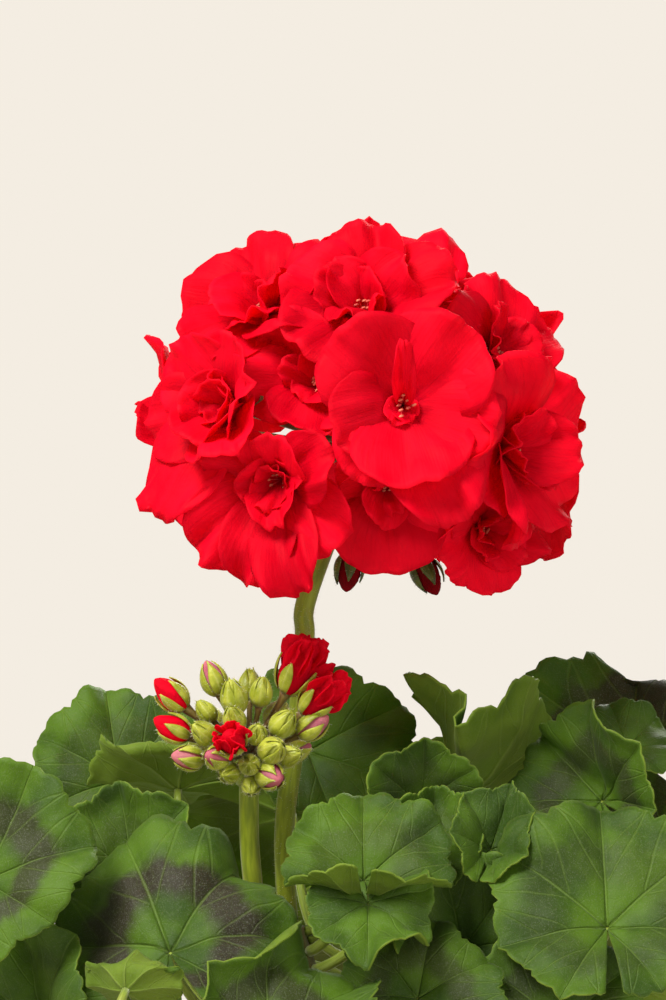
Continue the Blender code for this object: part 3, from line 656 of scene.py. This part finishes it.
def speckled_material(name, palette, roughness):
    """Small parts such as anthers and hairs, with a little variation."""
    first, second = colours(palette)
    nodes = Nodes(name)
    patches = nodes.noise(nodes.place(), 700.0)
    colour = nodes.mix(nodes.remap(patches, 0.35, 0.65), first, second)
    return nodes.done(nodes.surface(colour, roughness, nodes.bump(patches, 0.3, 0.0003)))


LEAF_UPPER = leaf_material("leaf_upper", "304A0C 507014 2E281C 74903A 7C9A34 86AE10", -1.0, 0.22, 0.5)
LEAF_UNDER = leaf_material("leaf_under", "5A7418 748C2A 4E4A26 94A84C 98AE40 8CB016", 1.0, 0.3, 0.6)
PETAL = petal_material("petal_red", "EC0028 FE0A30 B8001C B00024 FF1430")
# Painted shade: a darker copy of the red petal, for the furled petals of the buds that hang in the shade under
# the flower head.
PAINTED_SHADE_PETAL = petal_material("petal_dark", "7A0612 A00A18 500208 600814 B01020")
PINK = petal_material("petal_pink", "D87A8C ECA8A8 B0386A D8B88C F09098")
SEPAL = sepal_material("sepal", "8C961A B4BA38 C0C468 A8B428")
# Painted shade: a darker copy of the green sepal, for the buds that hang in the shade under the flower head.
PAINTED_SHADE_SEPAL = sepal_material("sepal_dark", "3A4A10 5A6A1E 66702C 5E7A18")
HAIR = speckled_material("hair", "C9C49A E4E0C4", 0.6)
FILAMENT = speckled_material("filament", "C81428 E84A4C", 0.5)
ANTHER = speckled_material("anther", "B02A2C DE7A5C", 0.6)
STALK = stalk_material("stalk_green", "74860A 9AAA1E 84781A")
PETIOLE = stalk_material("petiole_green", "6F8420 98AC3C 8C8E3A")
PEDICEL = stalk_material("pedicel_green", "6A4A1E 80702E 86402A")
STEM = stalk_material("stem_brown", "4E4A20 6E6A34 5E4628")


# ---- leaves
def blade_outline(angle, jitter):
    """The edge's distance at this angle from the midrib: lobes, and rounded teeth along them."""
    lobe = angle / LOBE_ANGLE
    shape = 1 - BACK_SHORTENING * (1 - cos(angle)) / 2
    shape *= 1 - LOBE_DEPTH * (1 - abs(cos(pi * lobe)) ** 0.5)
    teeth = abs(cos(pi * lobe * TEETH_PER_LOBE))
    depth = TOOTH_DEPTH * (0.7 + 0.6 * noise_at(angle * 2, jitter, 0))
    shape *= 1 - depth * (1 - teeth ** 0.6)
    return shape * (1 + UNEVEN_LOBES * noise_at(angle * 0.9, jitter * 3, 5))


def blade_height(leaf, x, y, jitter):
    """How far the blade stands from its plane: it is sunken along its veins and puffed between them."""
    radius = hypot(x, y)
    angle = atan2(x, y)
    lobe = angle / LOBE_ANGLE
    height = leaf.cup * radius ** 2
    height += PLEAT * radius * abs(sin(pi * lobe)) ** 0.8
    height += FINE_PLEAT * radius ** 2 * abs(sin(pi * lobe * TEETH_PER_LOBE / 2))
    height += leaf.ruffle * radius ** 3 * sin(5 * angle + jitter * 7)
    height += leaf.ruffle * 0.5 * radius ** 4 * sin(11 * angle + jitter * 13)
    height += SWELL * radius * noise_at(x * 1.3, y * 1.3, jitter * 3)
    height += DIMPLE * radius * noise_at(x * 5, y * 5, jitter)
    return height - HOLLOW * exp(-(radius / HOLLOW_WIDTH) ** 2)


def bend(points, toward, start, angle, over):
    """Rolls the part of a sheet beyond a line in its plane round a cylinder, without stretching it."""
    toward, angle = radians(toward), radians(angle)
    way = np.array((sin(toward), cos(toward)))
    beyond = np.clip(points[..., :2] @ way - start, 0.0, None)
    turned = angle * np.minimum(beyond / over, 1.0)
    round_radius = over / angle
    rest = np.clip(beyond - over, 0.0, None)
    ahead = round_radius * np.sin(turned) + rest * np.cos(turned)
    up = round_radius * (1 - np.cos(turned)) + rest * np.sin(turned)
    height = points[..., 2]
    moved = ahead - height * np.sin(turned) - beyond
    bent = points.copy()
    bent[..., :2] += moved[..., None] * way
    bent[..., 2] = up + height * np.cos(turned)
    return bent


def add_blade(build, leaf, jitter, place):
    columns = LOBES * TEETH_PER_LOBE * SAMPLES_PER_TOOTH + 1
    grid, pattern = np.zeros((2, LEAF_RINGS, columns, 3))
    for column in range(columns):
        angle = (tau - NOTCH) * (column / (columns - 1) - 0.5)
        side, ahead = sin(angle), cos(angle)
        edge = blade_outline(angle, jitter)
        for ring in range(LEAF_RINGS):
            share = INNER_RING + (1 - INNER_RING) * (ring / (LEAF_RINGS - 1)) ** 0.9
            x, y = share * edge * side, share * edge * ahead
            grid[ring, column] = (x, y, blade_height(leaf, x, y, jitter))
            pattern[ring, column] = (share * side, share * ahead, leaf.zone)
    for each_bend in leaf.bends:
        grid = bend(grid, *each_bend)
    grid *= leaf.radius * MM
    add_sheet(build, grid[:, ::-1], pattern[:, ::-1], LEAF_THICKNESS, 0, 1, place)


def petiole_foot(node, tree):
    """Where the leaf's CAD solid meets the stem, and the way that it leaves it."""
    corners = [corner.co.copy() for corner in bpy.data.objects[node].data.vertices]
    nearest = sorted(corners, key=lambda corner: tree.find_nearest(corner)[3])[:6]
    foot = sum(nearest, Vector()) / len(nearest)
    on_stem = tree.find_nearest(foot)[0]
    return on_stem, (foot - on_stem).normalized()


def add_petiole(build, leaf, place, tree):
    normal = place.to_3x3() @ Vector((0, 0, 1))
    end = place.translation - normal * leaf.radius * MM * HOLLOW
    foot, outward = petiole_foot(leaf.name, tree)
    reach = (end - foot).length * 0.35
    route = bezier(foot, foot + outward * reach, end - normal * reach, end, PETIOLE_STEPS)
    radii = [PETIOLE_RADIUS * (1.25 - 0.35 * step / PETIOLE_STEPS) for step in range(PETIOLE_STEPS + 1)]
    add_tube(build, route, radii, 2)


def make_leaves():
    tree = BVHTree.FromObject(bpy.data.objects["stem"], bpy.context.evaluated_depsgraph_get())
    for number, leaf in enumerate(LEAVES):
        build = Build()
        place = facing(place_of(leaf.x, leaf.y, leaf.z), direction(leaf.turn, leaf.lift), leaf.spin)
        add_blade(build, leaf, number * 0.73, place)
        add_petiole(build, leaf, place, tree)
        build.piece(leaf.name + "_blade", (LEAF_UPPER, LEAF_UNDER, PETIOLE), [leaf.name])


# ---- flowers
PETAL_ROWS, PETAL_COLUMNS = 15, 21
PETAL_STEPS = 24  # how finely a petal's curve from the throat outwards is followed
PETAL_THICKNESS = 0.00028
THROAT_DEPTH = 0.008
PEDICEL_STEPS = 12
PETAL_PART, FILAMENT_PART, ANTHER_PART, FLORET_PEDICEL_PART = range(4)


def petal_curve(start, end):
    """Reach, height and angle along a petal of length 1, which opens from start to end degrees."""
    curve = [(0.0, 0.0, radians(start))]
    for step in range(1, PETAL_STEPS + 1):
        angle = radians(start + (end - start) * (step / PETAL_STEPS) ** 0.8)
        reach, height, _ = curve[-1]
        curve.append((reach + sin(angle) / PETAL_STEPS, height + cos(angle) / PETAL_STEPS, angle))
    return curve


def petal_lift(across, along, half, length, cup, ruffle, slant, seed):
    """How far a point of the petal stands from its curve: cup, slant, waves, crinkles, raised midline."""
    lift = cup * half * across ** 2 + slant * half * across
    wave = sin(across * 5.2 + seed * 5) + 0.6 * sin(across * 9.5 + along * 6 + seed * 11)
    lift += ruffle * length * along ** 3 * wave
    lift += 0.2 * length * along * noise_at(across * 1.3, along * 1.8, seed * 3.1)
    lift += 0.05 * length * along * noise_at(across * 4, along * 4, seed * 1.7)
    lift += 0.02 * length * along * exp(-(across / 0.12) ** 2)
    return lift + 0.016 * length * along ** 4 * sin(across * 20 + seed * 23)


def add_petal(build, place, length, width, start, end, azimuth, cup, ruffle, slant, seed, slot=PETAL_PART):
    """A petal from the throat outwards. start and end are its angles from the floret's axis, in degrees."""
    curve = petal_curve(start, end)
    grid, pattern = np.zeros((2, PETAL_ROWS, PETAL_COLUMNS, 3))
    for row in range(PETAL_ROWS):
        share = row / (PETAL_ROWS - 1)
        half = width * (0.10 + 0.90 * (1 - (1 - share) ** 1.9))
        for column in range(PETAL_COLUMNS):
            across = 2 * column / (PETAL_COLUMNS - 1) - 1
            rounded = 0.5 + 0.5 * sqrt(1 - (0.985 * across) ** 2)
            notch = 1 - 0.05 * exp(-(across / 0.16) ** 2) * (0.6 + 0.4 * sin(seed * 9))
            nick = 1 + 0.035 * noise_at(across * 5, seed * 7, 1)
            along = share * rounded * notch * nick
            at = min(along, 1.0) * PETAL_STEPS
            low = min(int(at), PETAL_STEPS - 1)
            reach, height, angle = (a + (b - a) * (at - low) for a, b in zip(curve[low], curve[low + 1]))
            lift = petal_lift(across, along, half, length, cup, ruffle, slant, seed)
            out, up = reach * length - lift * cos(angle), height * length + lift * sin(angle)
            grid[row, column] = (across * half, out, up)
            pattern[row, column] = (across, along, seed)
    turned = place @ Matrix.Rotation(radians(azimuth), 4, "Z")
    add_sheet(build, grid, pattern, PETAL_THICKNESS, slot, slot, turned)


def add_stamens(build, place, size, chance):
    """A little brush of filaments, each with its anther across its tip."""
    vary = chance.uniform
    for number in range(8):
        lean = radians(vary(8, 26))
        azimuth = tau * number / 8 + vary(-0.3, 0.3)
        out = sin(lean)
        tip = Vector((out * cos(azimuth), out * sin(azimuth), cos(lean)))
        tip *= size * vary(0.2, 0.28)
        route = [tip * share for share in (0.0, 0.5, 1.0)]
        add_tube(build, route, [0.00022, 0.0002, 0.00014], FILAMENT_PART, 5, place)
        ends = [tip + Vector((0.0005 * step, 0.0002 * step, 0.0002)) for step in (-1.2, -0.6, 0.6, 1.2)]
        add_tube(build, ends, [0.0001, 0.00034, 0.00034, 0.0001], ANTHER_PART, 6, place)


def add_calyx(build, place, chance):
    """Five narrow sepals behind the petals."""
    behind = place @ Matrix.Translation((0, 0, -0.0008))
    for number in range(5):
        azimuth = 72 * number + chance.uniform(-8, 8)
        add_petal(build, behind, 0.0085, 0.0018, 60, 92, azimuth, 0.5, 0.0, 0.0, number, FLORET_PEDICEL_PART)


def shaped_petals(build, place, floret, chance):
    """The petals of a floret that is seen closely, each with its own place."""
    for row in SHAPED[floret.name]:
        petal = Petal(*row)
        add_petal(
            build, place, petal.length * MM, petal.width * MM, petal.start, petal.end, petal.azimuth,
            petal.cup, petal.ruffle, 0.1, chance.uniform(0, 9))


def grown_petals(build, place, floret, chance):
    """Five large outer petals, and smaller curled ones that fill the middle."""
    vary = chance.uniform
    size = floret.size * MM
    for number in range(5):
        end = floret.open + vary(-6, 16)
        add_petal(
            build, place, size * vary(1.14, 1.34), size * vary(0.54, 0.68),
            36, end + 12, 72 * number + vary(-9, 9), vary(-0.06, 0.2),
            vary(0.05, 0.1), vary(0.05, 0.3), vary(0, 9))
    for number in range(floret.full):
        azimuth = 360 * number / floret.full + 36 + vary(-24, 24)
        long = size * vary(0.55, 1.0)
        add_petal(
            build, place, long, long * vary(0.3, 0.52), 18, floret.open * vary(0.45, 0.9),
            azimuth, vary(-0.2, 0.5), vary(0.04, 0.1), vary(-0.3, 0.4),
            vary(0, 9))


def make_floret(floret):
    chance = seeded(floret.name)
    build = Build()
    centre = HUB + direction(floret.turn, floret.lift) * floret.reach * MM
    axis = direction(floret.face_turn, floret.face_lift)
    place = facing(centre - axis * THROAT_DEPTH, axis, floret.spin)
    throat = place.translation
    add_petals = shaped_petals if floret.name in SHAPED else grown_petals
    add_petals(build, place, floret, chance)
    add_stamens(build, place, floret.size * MM, chance)
    add_calyx(build, place, chance)
    start = HUB + (throat - HUB).normalized() * HUB_RADIUS * 0.9
    leave = (start - HUB).normalized()
    way = (throat - start).length
    route = bezier(start, start + leave * way * 0.4, throat - axis * way * 0.3, throat, PEDICEL_STEPS)
    add_tube(build, route, [0.0008] * PEDICEL_STEPS + [0.0013], FLORET_PEDICEL_PART, 8)
    build.piece(floret.name + "_petals", (PETAL, FILAMENT, ANTHER, PEDICEL), [floret.name])


# ---- buds
RED_PART, SEPAL_PART, PEDICEL_PART, HAIR_PART, PINK_PART, SHADOW_PART, STALK_PART = range(7)
BUD_LENGTH = 2.9  # in bud radii
BUD_RINGS, BUD_SIDES = 16, 30
SEPAL_ROWS, SEPAL_COLUMNS = 12, 9
SEPAL_THICKNESS = 0.00018
SEPAL_HAIRS = 26
PEDICEL_HAIRS = 46
HAIR_WIDTH = 0.000035
# How much of the bud each sepal covers, its half width in degrees, how far its tip stands off,
# what is inside, and the pedicel's radius.
BudKind = namedtuple("BudKind", "covers half_width off inside pedicel")
BUD_KINDS = {
    "opening": BudKind(0.62, 23, 0.10, RED_PART, 0.0009),
    "open": BudKind(0.60, 26, 0.10, RED_PART, 0.0009),
    "red": BudKind(0.74, 24, 0.06, RED_PART, 0.0009),
    "hanging": BudKind(0.80, 26, 0.08, SHADOW_PART, 0.0009),
    "pink": BudKind(0.90, 32, 0.05, PINK_PART, 0.0007),
    "pale": BudKind(0.96, 36, 0.03, PINK_PART, 0.0007),
    "green": BudKind(1.0, 44, 0.01, SEPAL_PART, 0.0007),
}


def bud_profile(share):
    """The bud's radius along its length, as a share of its largest: a round foot and a blunt point."""
    return sin(pi * (0.06 + 0.9 * share) ** 0.8) ** 0.75


def add_bud_body(build, place, radius, slot, chance):
    """The furled petals, wound round each other, so that their edges show as spiral steps."""
    length = radius * BUD_LENGTH
    turn = chance.uniform(0, tau)
    points, pattern = [], []
    for ring in range(BUD_RINGS):
        share = ring / (BUD_RINGS - 1)
        for step in range(BUD_SIDES):
            angle = tau * step / BUD_SIDES
            wound = (angle * 3 / tau + share * 0.9 + turn) % 1
            away = radius * 0.92 * bud_profile(share) * (1.05 - 0.13 * wound)
            away *= 1 - 0.5 * max(0.0, share - 0.93) / 0.07
            points.append((away * cos(angle), away * sin(angle), length * (share - 0.5)))
            pattern.append((wound * 2 - 1, 0.4 + 0.6 * share, turn))
    faces = ring_faces(BUD_RINGS, BUD_SIDES)
    build.add(points, faces, [slot] * len(faces), pattern, place)


def add_sepals(build, place, radius, kind, chance):
    length = radius * BUD_LENGTH
    for number in range(5):
        middle = radians(72 * number + chance.uniform(-6, 6))
        reach = kind.covers * chance.uniform(0.93, 1.04)
        grid, pattern = np.zeros((2, SEPAL_ROWS, SEPAL_COLUMNS, 3))
        for row in range(SEPAL_ROWS):
            share = row / (SEPAL_ROWS - 1)
            half = radians(kind.half_width) * (cos(pi / 2 * share ** 1.9) * 0.94 + 0.06)
            profile = bud_profile(min(share * reach, 0.97)) * (1.04 + kind.off * share ** 3 * 2)
            for column in range(SEPAL_COLUMNS):
                across = 2 * column / (SEPAL_COLUMNS - 1) - 1
                angle = middle + across * half
                away = radius * (profile + 0.07 * (1 - across * across))
                up = length * (share * reach - 0.5)
                grid[row, column] = (away * cos(angle), away * sin(angle), up)
                pattern[row, column] = (across, share, number)
        add_sheet(build, grid[:, ::-1], pattern[:, ::-1], SEPAL_THICKNESS, SEPAL_PART, SEPAL_PART, place)
        for _ in range(SEPAL_HAIRS):
            root = Vector(grid[chance.randrange(SEPAL_ROWS), chance.randrange(SEPAL_COLUMNS)])
            out = place.to_3x3() @ Vector((root.x, root.y, radius * 0.35)).normalized()
            add_hair(build, place @ root, out, chance)


def add_hair(build, root, way, chance, slot=HAIR_PART):
    """One fine pale hair, a narrow closed spike."""
    side = way.orthogonal().normalized()
    other = way.cross(side)
    length = chance.uniform(0.0005, 0.0011)
    lean = side * chance.uniform(-0.3, 0.3) + other * chance.uniform(-0.3, 0.3)
    back = root - side * HAIR_WIDTH * 0.5
    across = other * HAIR_WIDTH
    tip = root + (way + lean).normalized() * length
    faces = [[0, 1, 3], [1, 2, 3], [2, 0, 3], [2, 1, 0]]
    corners = [tuple(corner) for corner in (root + side * HAIR_WIDTH, back + across, back - across, tip)]
    build.add(corners, faces, [slot] * len(faces), [(0, 0, 0)] * len(corners))


def add_tube_hairs(build, route, radius, count, chance, slot=HAIR_PART):
    for _ in range(count):
        at = chance.random() * (len(route) - 1.001)
        low = int(at)
        centre = route[low].lerp(route[low + 1], at - low)
        way = (route[low + 1] - route[low]).normalized()
        out = Matrix.Rotation(chance.uniform(0, tau), 3, way) @ way.orthogonal().normalized()
        add_hair(build, centre + out * radius * 0.95, out, chance, slot)


def add_opening_petals(build, place, radius, open_wide, chance):
    """The tips of petals that have begun to unfurl from the bud."""
    vary = chance.uniform
    length = 2.0 if open_wide else 2.6
    base = place @ Matrix.Translation((0, 0, -radius * 0.8))
    for number in range(6):
        end = vary(2, 20) + (22 if open_wide else 0) * (number % 2)
        shift = base @ Matrix.Rotation(radians(60 * number + vary(-12, 12)), 4, "Z")
        shift = shift @ Matrix.Translation((0, radius * vary(0.3, 0.62), 0))
        add_petal(
            build, shift, radius * length * vary(0.88, 1.1), radius * vary(0.7, 0.95),
            4, end, 0, vary(-0.75, -0.4), vary(0.03, 0.09), vary(-0.3, 0.3),
            vary(0, 9), RED_PART)


def add_bud(build, bud_kind, hub, leave, middle, way, radius, chance):
    """A bud at its middle, looking along way, and the pedicel that leaves the hub along leave."""
    kind = BUD_KINDS[bud_kind]
    place = facing(middle, way, chance.uniform(0, 70))
    foot = middle - way * radius * BUD_LENGTH * 0.48
    start = hub + leave * HUB_RADIUS * 0.8
    handle = (foot - start).length * 0.38
    route = bezier(start, start + leave * handle, foot - way * handle, foot, 10)
    add_tube(build, route, [kind.pedicel] * 9 + [kind.pedicel * 1.3, radius * 0.42], PEDICEL_PART, 9)
    add_tube_hairs(build, route, kind.pedicel, PEDICEL_HAIRS, chance)
    add_bud_body(build, place, radius, kind.inside, chance)
    add_sepals(build, place, radius, kind, chance)
    if bud_kind in ("opening", "open"):
        add_opening_petals(build, place, radius, bud_kind == "open", chance)


def bud_materials(sepal=SEPAL):
    # The sixth material, at SHADOW_PART, is the red petal with painted shade.
    return (PETAL, sepal, PEDICEL, HAIR, PINK, PAINTED_SHADE_PETAL)


def add_cluster_bud(build, bud):
    offset = Vector((bud.x, bud.y, bud.z)) * MM
    way = offset.normalized()
    leave = (way + Vector((0, 0, 0.5))).normalized()
    add_bud(build, bud.kind, BUD_HUB, leave, BUD_HUB + offset, way, bud.radius * MM, seeded(bud.name))


def make_buds():
    for bud in CLUSTER_BUDS:
        build = Build()
        add_cluster_bud(build, bud)
        build.piece(bud.name + "_furled", bud_materials(), [bud.name])
    for bud in HANGING_BUDS:
        build = Build()
        way = direction(bud.turn, bud.lift)
        leave = direction(bud.leave_turn, bud.leave_lift)
        middle = HUB + way * bud.reach * MM
        add_bud(build, "hanging", HUB, leave, middle, way, bud.radius * MM, seeded(bud.name))
        # The hanging buds get sepals and furled petals with painted shade.
        build.piece(bud.name + "_furled", bud_materials(PAINTED_SHADE_SEPAL), [bud.name])


# ---- stalks and stem
# Routes in millimetres from the middle of the soil's surface, as in the CAD model.
TRUNK = ((0, 0, -15), (0, 0, 20), (-3, 2, 45), (-8, 3, 62))
BRANCHES = (
    ((0, 0, 10), (-16, -3, 26), (-38, -6, 42), (-50, -7, 60)),
    ((0, 0, 14), (18, -3, 27), (42, -5, 44), (54, -5, 66)),
    ((0, 0, 6), (0, -16, 18), (2, -32, 30), (3, -40, 48)),
    ((0, 0, 18), (-8, -8, 30), (-14, -13, 46), (-17, -15, 62)),
    ((0, 0, 12), (4, 18, 24), (9, 36, 40), (11, 46, 58)),
)
FLOWER_STALK = ((-8, 3, 62), (-9, 2, 75), (-9, 0, 92), (-6, 0, 115), (-4, 0, 138), (-3, 0, 150))
BUD_STALK = ((-17, -15, 62), (-17, -16, 74), (-18, -18, 88))
FLOWER_STALK_RADIUS = 0.0026
BUD_STALK_RADIUS = 0.0025
STALK_HAIRS = 900
# The knob at a stalk's top: how far along from its hub and how wide, both in hub radii.
KNOB = ((-1.0, 0.72), (-0.5, 0.93), (0.0, 1.0), (0.5, 0.86), (0.85, 0.5), (0.98, 0.15))


def swelling_radii(route, base, tip, spacing, swell):
    """Radii that taper along the route and swell at the old leaf joints."""
    radii, length = [], 0.0
    total = sum((b - a).length for a, b in zip(route, route[1:]))
    for number, point in enumerate(route):
        length += (point - route[number - 1]).length if number else 0.0
        ring = exp(-(((length / spacing) % 1 - 0.5) / 0.12) ** 2)
        radii.append((base + (tip - base) * length / total) * (1 + swell * ring))
    return radii


def make_stem():
    build = Build()
    trunk = smooth_route([place_of(*corner) for corner in TRUNK], 14)
    add_tube(build, trunk, swelling_radii(trunk, 0.005, 0.0037, 0.012, 0.1), 0, 16)
    for corners in BRANCHES:
        route = smooth_route([place_of(*corner) for corner in corners], 14)
        add_tube(build, route, swelling_radii(route, 0.0034, 0.0026, 0.011, 0.12), 0, 14)
    build.piece("stem_branches", (STEM,), ["stem"])


def add_stalk(build, corners, hub, radius, slot):
    """A stalk with a knob round its hub. It returns the route below the knob."""
    route = smooth_route([place_of(*corner) for corner in corners] + [hub], 12)
    way = (route[-1] - route[-2]).normalized()
    below = route[:-4]
    knob = [hub + way * HUB_RADIUS * along for along, _ in KNOB]
    radii = [radius] * len(below) + [HUB_RADIUS * share for _, share in KNOB]
    add_tube(build, below + knob, radii, slot, 16)
    return below


def make_flower_stalk():
    build = Build()
    route = add_stalk(build, FLOWER_STALK, HUB, FLOWER_STALK_RADIUS, 0)
    add_tube_hairs(build, route, FLOWER_STALK_RADIUS, STALK_HAIRS, seeded("flower_stalk"), 1)
    build.piece("flower_stalk_green", (STALK, HAIR), ["flower_stalk"])


def make_bud_stalk():
    build = Build()
    add_stalk(build, BUD_STALK, BUD_HUB, BUD_STALK_RADIUS, STALK_PART)
    for bud in SMALL_BUDS:
        add_cluster_bud(build, bud)
    build.piece("bud_stalk_umbel", (*bud_materials(), STALK), ["bud_stalk"])


# ---- pot and soil
CRUMBS = 1500
CRUMB_MARGIN = 0.003


def paint_pot_and_soil():
    materials = {"pot": terracotta_material(), "soil": soil_material("soil", "1E130C 3A281A")}
    for node, material in materials.items():
        slots = bpy.data.objects[node].data.materials
        slots.clear()
        slots.append(material)


def make_soil_crumbs():
    """Loose crumbs of compost, half sunk in the top of the soil."""
    chance = seeded("soil_crumbs")
    vary = chance.uniform
    low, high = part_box("soil")
    reach = (high[0] - low[0]) / 2 - CRUMB_MARGIN
    build = Build()
    for _ in range(CRUMBS):
        away = reach * sqrt(chance.random())
        turn = vary(0, tau)
        size = vary(0.0007, 0.002) * (1 + chance.random() ** 6)
        level = high[2] + size * vary(-0.2, 0.5)
        middle = Vector((away * cos(turn), away * sin(turn), level))
        way = Vector((vary(-1, 1), vary(-1, 1), vary(-0.4, 0.4)))
        way = way.normalized() * size
        route = [middle + way * share for share in (-1.0, -0.5, 0.4, 1.0)]
        radii = [size * share for share in (0.25, vary(0.7, 1.0), vary(0.6, 0.9), 0.2)]
        add_tube(build, route, radii, chance.choice((0, 0, 0, 1)), 7)
    materials = (soil_material("crumb_dark", "1C120B 3E2A1B"), soil_material("crumb_light", "3A2819 6A4C32"))
    build.piece("soil_crumbs", materials, [])


# ---- stage
CREAM = rgb("F4EDE2")
FLOOR_COLOUR = rgb("C9C1B5")
FLOOR_HALF = 12.0
FLOOR_DROP = 0.0002
FLOOR_FADE = (0.25, 1.0)  # how far out the floor begins and ends its change to the backdrop's colour
WORLD_LIGHT = 0.3
LIGHT_AIM = (0, 0, 0.24)
Light = namedtuple("Light", "name place size power colour")
LIGHTS = (
    Light("key", (-0.62, -0.72, 1.25), 0.7, 33.0, (1.0, 0.98, 0.95)),
    Light("fill", (0.9, -1.1, 0.45), 0.9, 6.0, (1.0, 0.98, 0.95)),
    Light("back", (0.35, 1.1, 0.9), 0.7, 14.0, (1.0, 0.98, 0.94)),
)
CAMERA_PLACE = (0.0034, -1.05, 0.280)
VIEW_HEIGHT = 0.26  # how much of the scene the picture takes in at the plant's middle
SENSOR = 36.0


def make_floor():
    half = FLOOR_HALF
    mesh = bpy.data.meshes.new("floor")
    corners = [(-half, -half, 0), (half, -half, 0), (half, half, 0), (-half, half, 0)]
    mesh.from_pydata(corners, [], [(0, 1, 2, 3)])
    floor = new_object("floor", mesh)
    floor.location.z = -FLOOR_DROP
    nodes = Nodes("floor")
    x, y, _ = nodes.split(nodes.place())
    glow = nodes.add("Emission", {"Color": CREAM})
    fade = nodes.remap((x * x + y * y) ** 0.5, *FLOOR_FADE)
    matte = nodes.surface(FLOOR_COLOUR, 0.95)
    mesh.materials.append(nodes.done(nodes.mix_shaders(fade, matte, glow)))


def make_world():
    """A cream backdrop that lights the scene more softly than it looks."""
    nodes = Nodes("studio", "World")
    around = nodes.add("Background", {"Color": CREAM, "Strength": WORLD_LIGHT})
    seen = nodes.add("Background", {"Color": CREAM})
    ray = nodes.add("LightPath", {}, "Is Camera Ray")
    bpy.context.scene.world = nodes.done(nodes.mix_shaders(ray, around, seen))


def make_light(light):
    data = bpy.data.lights.new(light.name, "AREA")
    data.shape = "DISK"
    data.size = light.size
    data.energy = light.power
    data.color = light.colour
    obj = new_object(light.name, data)
    obj.location = light.place
    obj.rotation_euler = (Vector(LIGHT_AIM) - Vector(light.place)).to_track_quat("-Z", "Y").to_euler()
    obj.visible_camera = False


def make_camera():
    camera = bpy.data.cameras.new("camera")
    camera.sensor_fit = "VERTICAL"
    camera.sensor_height = SENSOR
    camera.lens = SENSOR * -CAMERA_PLACE[1] / VIEW_HEIGHT
    camera.clip_end = 100.0
    obj = new_object("camera", camera)
    obj.location = CAMERA_PLACE
    obj.rotation_euler = (radians(90), 0, 0)
    bpy.context.scene.camera = obj
    bpy.context.scene.view_settings.view_transform = "Standard"


make_camera()
make_world()
for each in LIGHTS:
    make_light(each)
make_floor()
make_leaves()
for each in FLORETS:
    make_floret(each)
make_buds()
make_stem()
make_flower_stalk()
make_bud_stalk()
paint_pot_and_soil()
make_soil_crumbs()
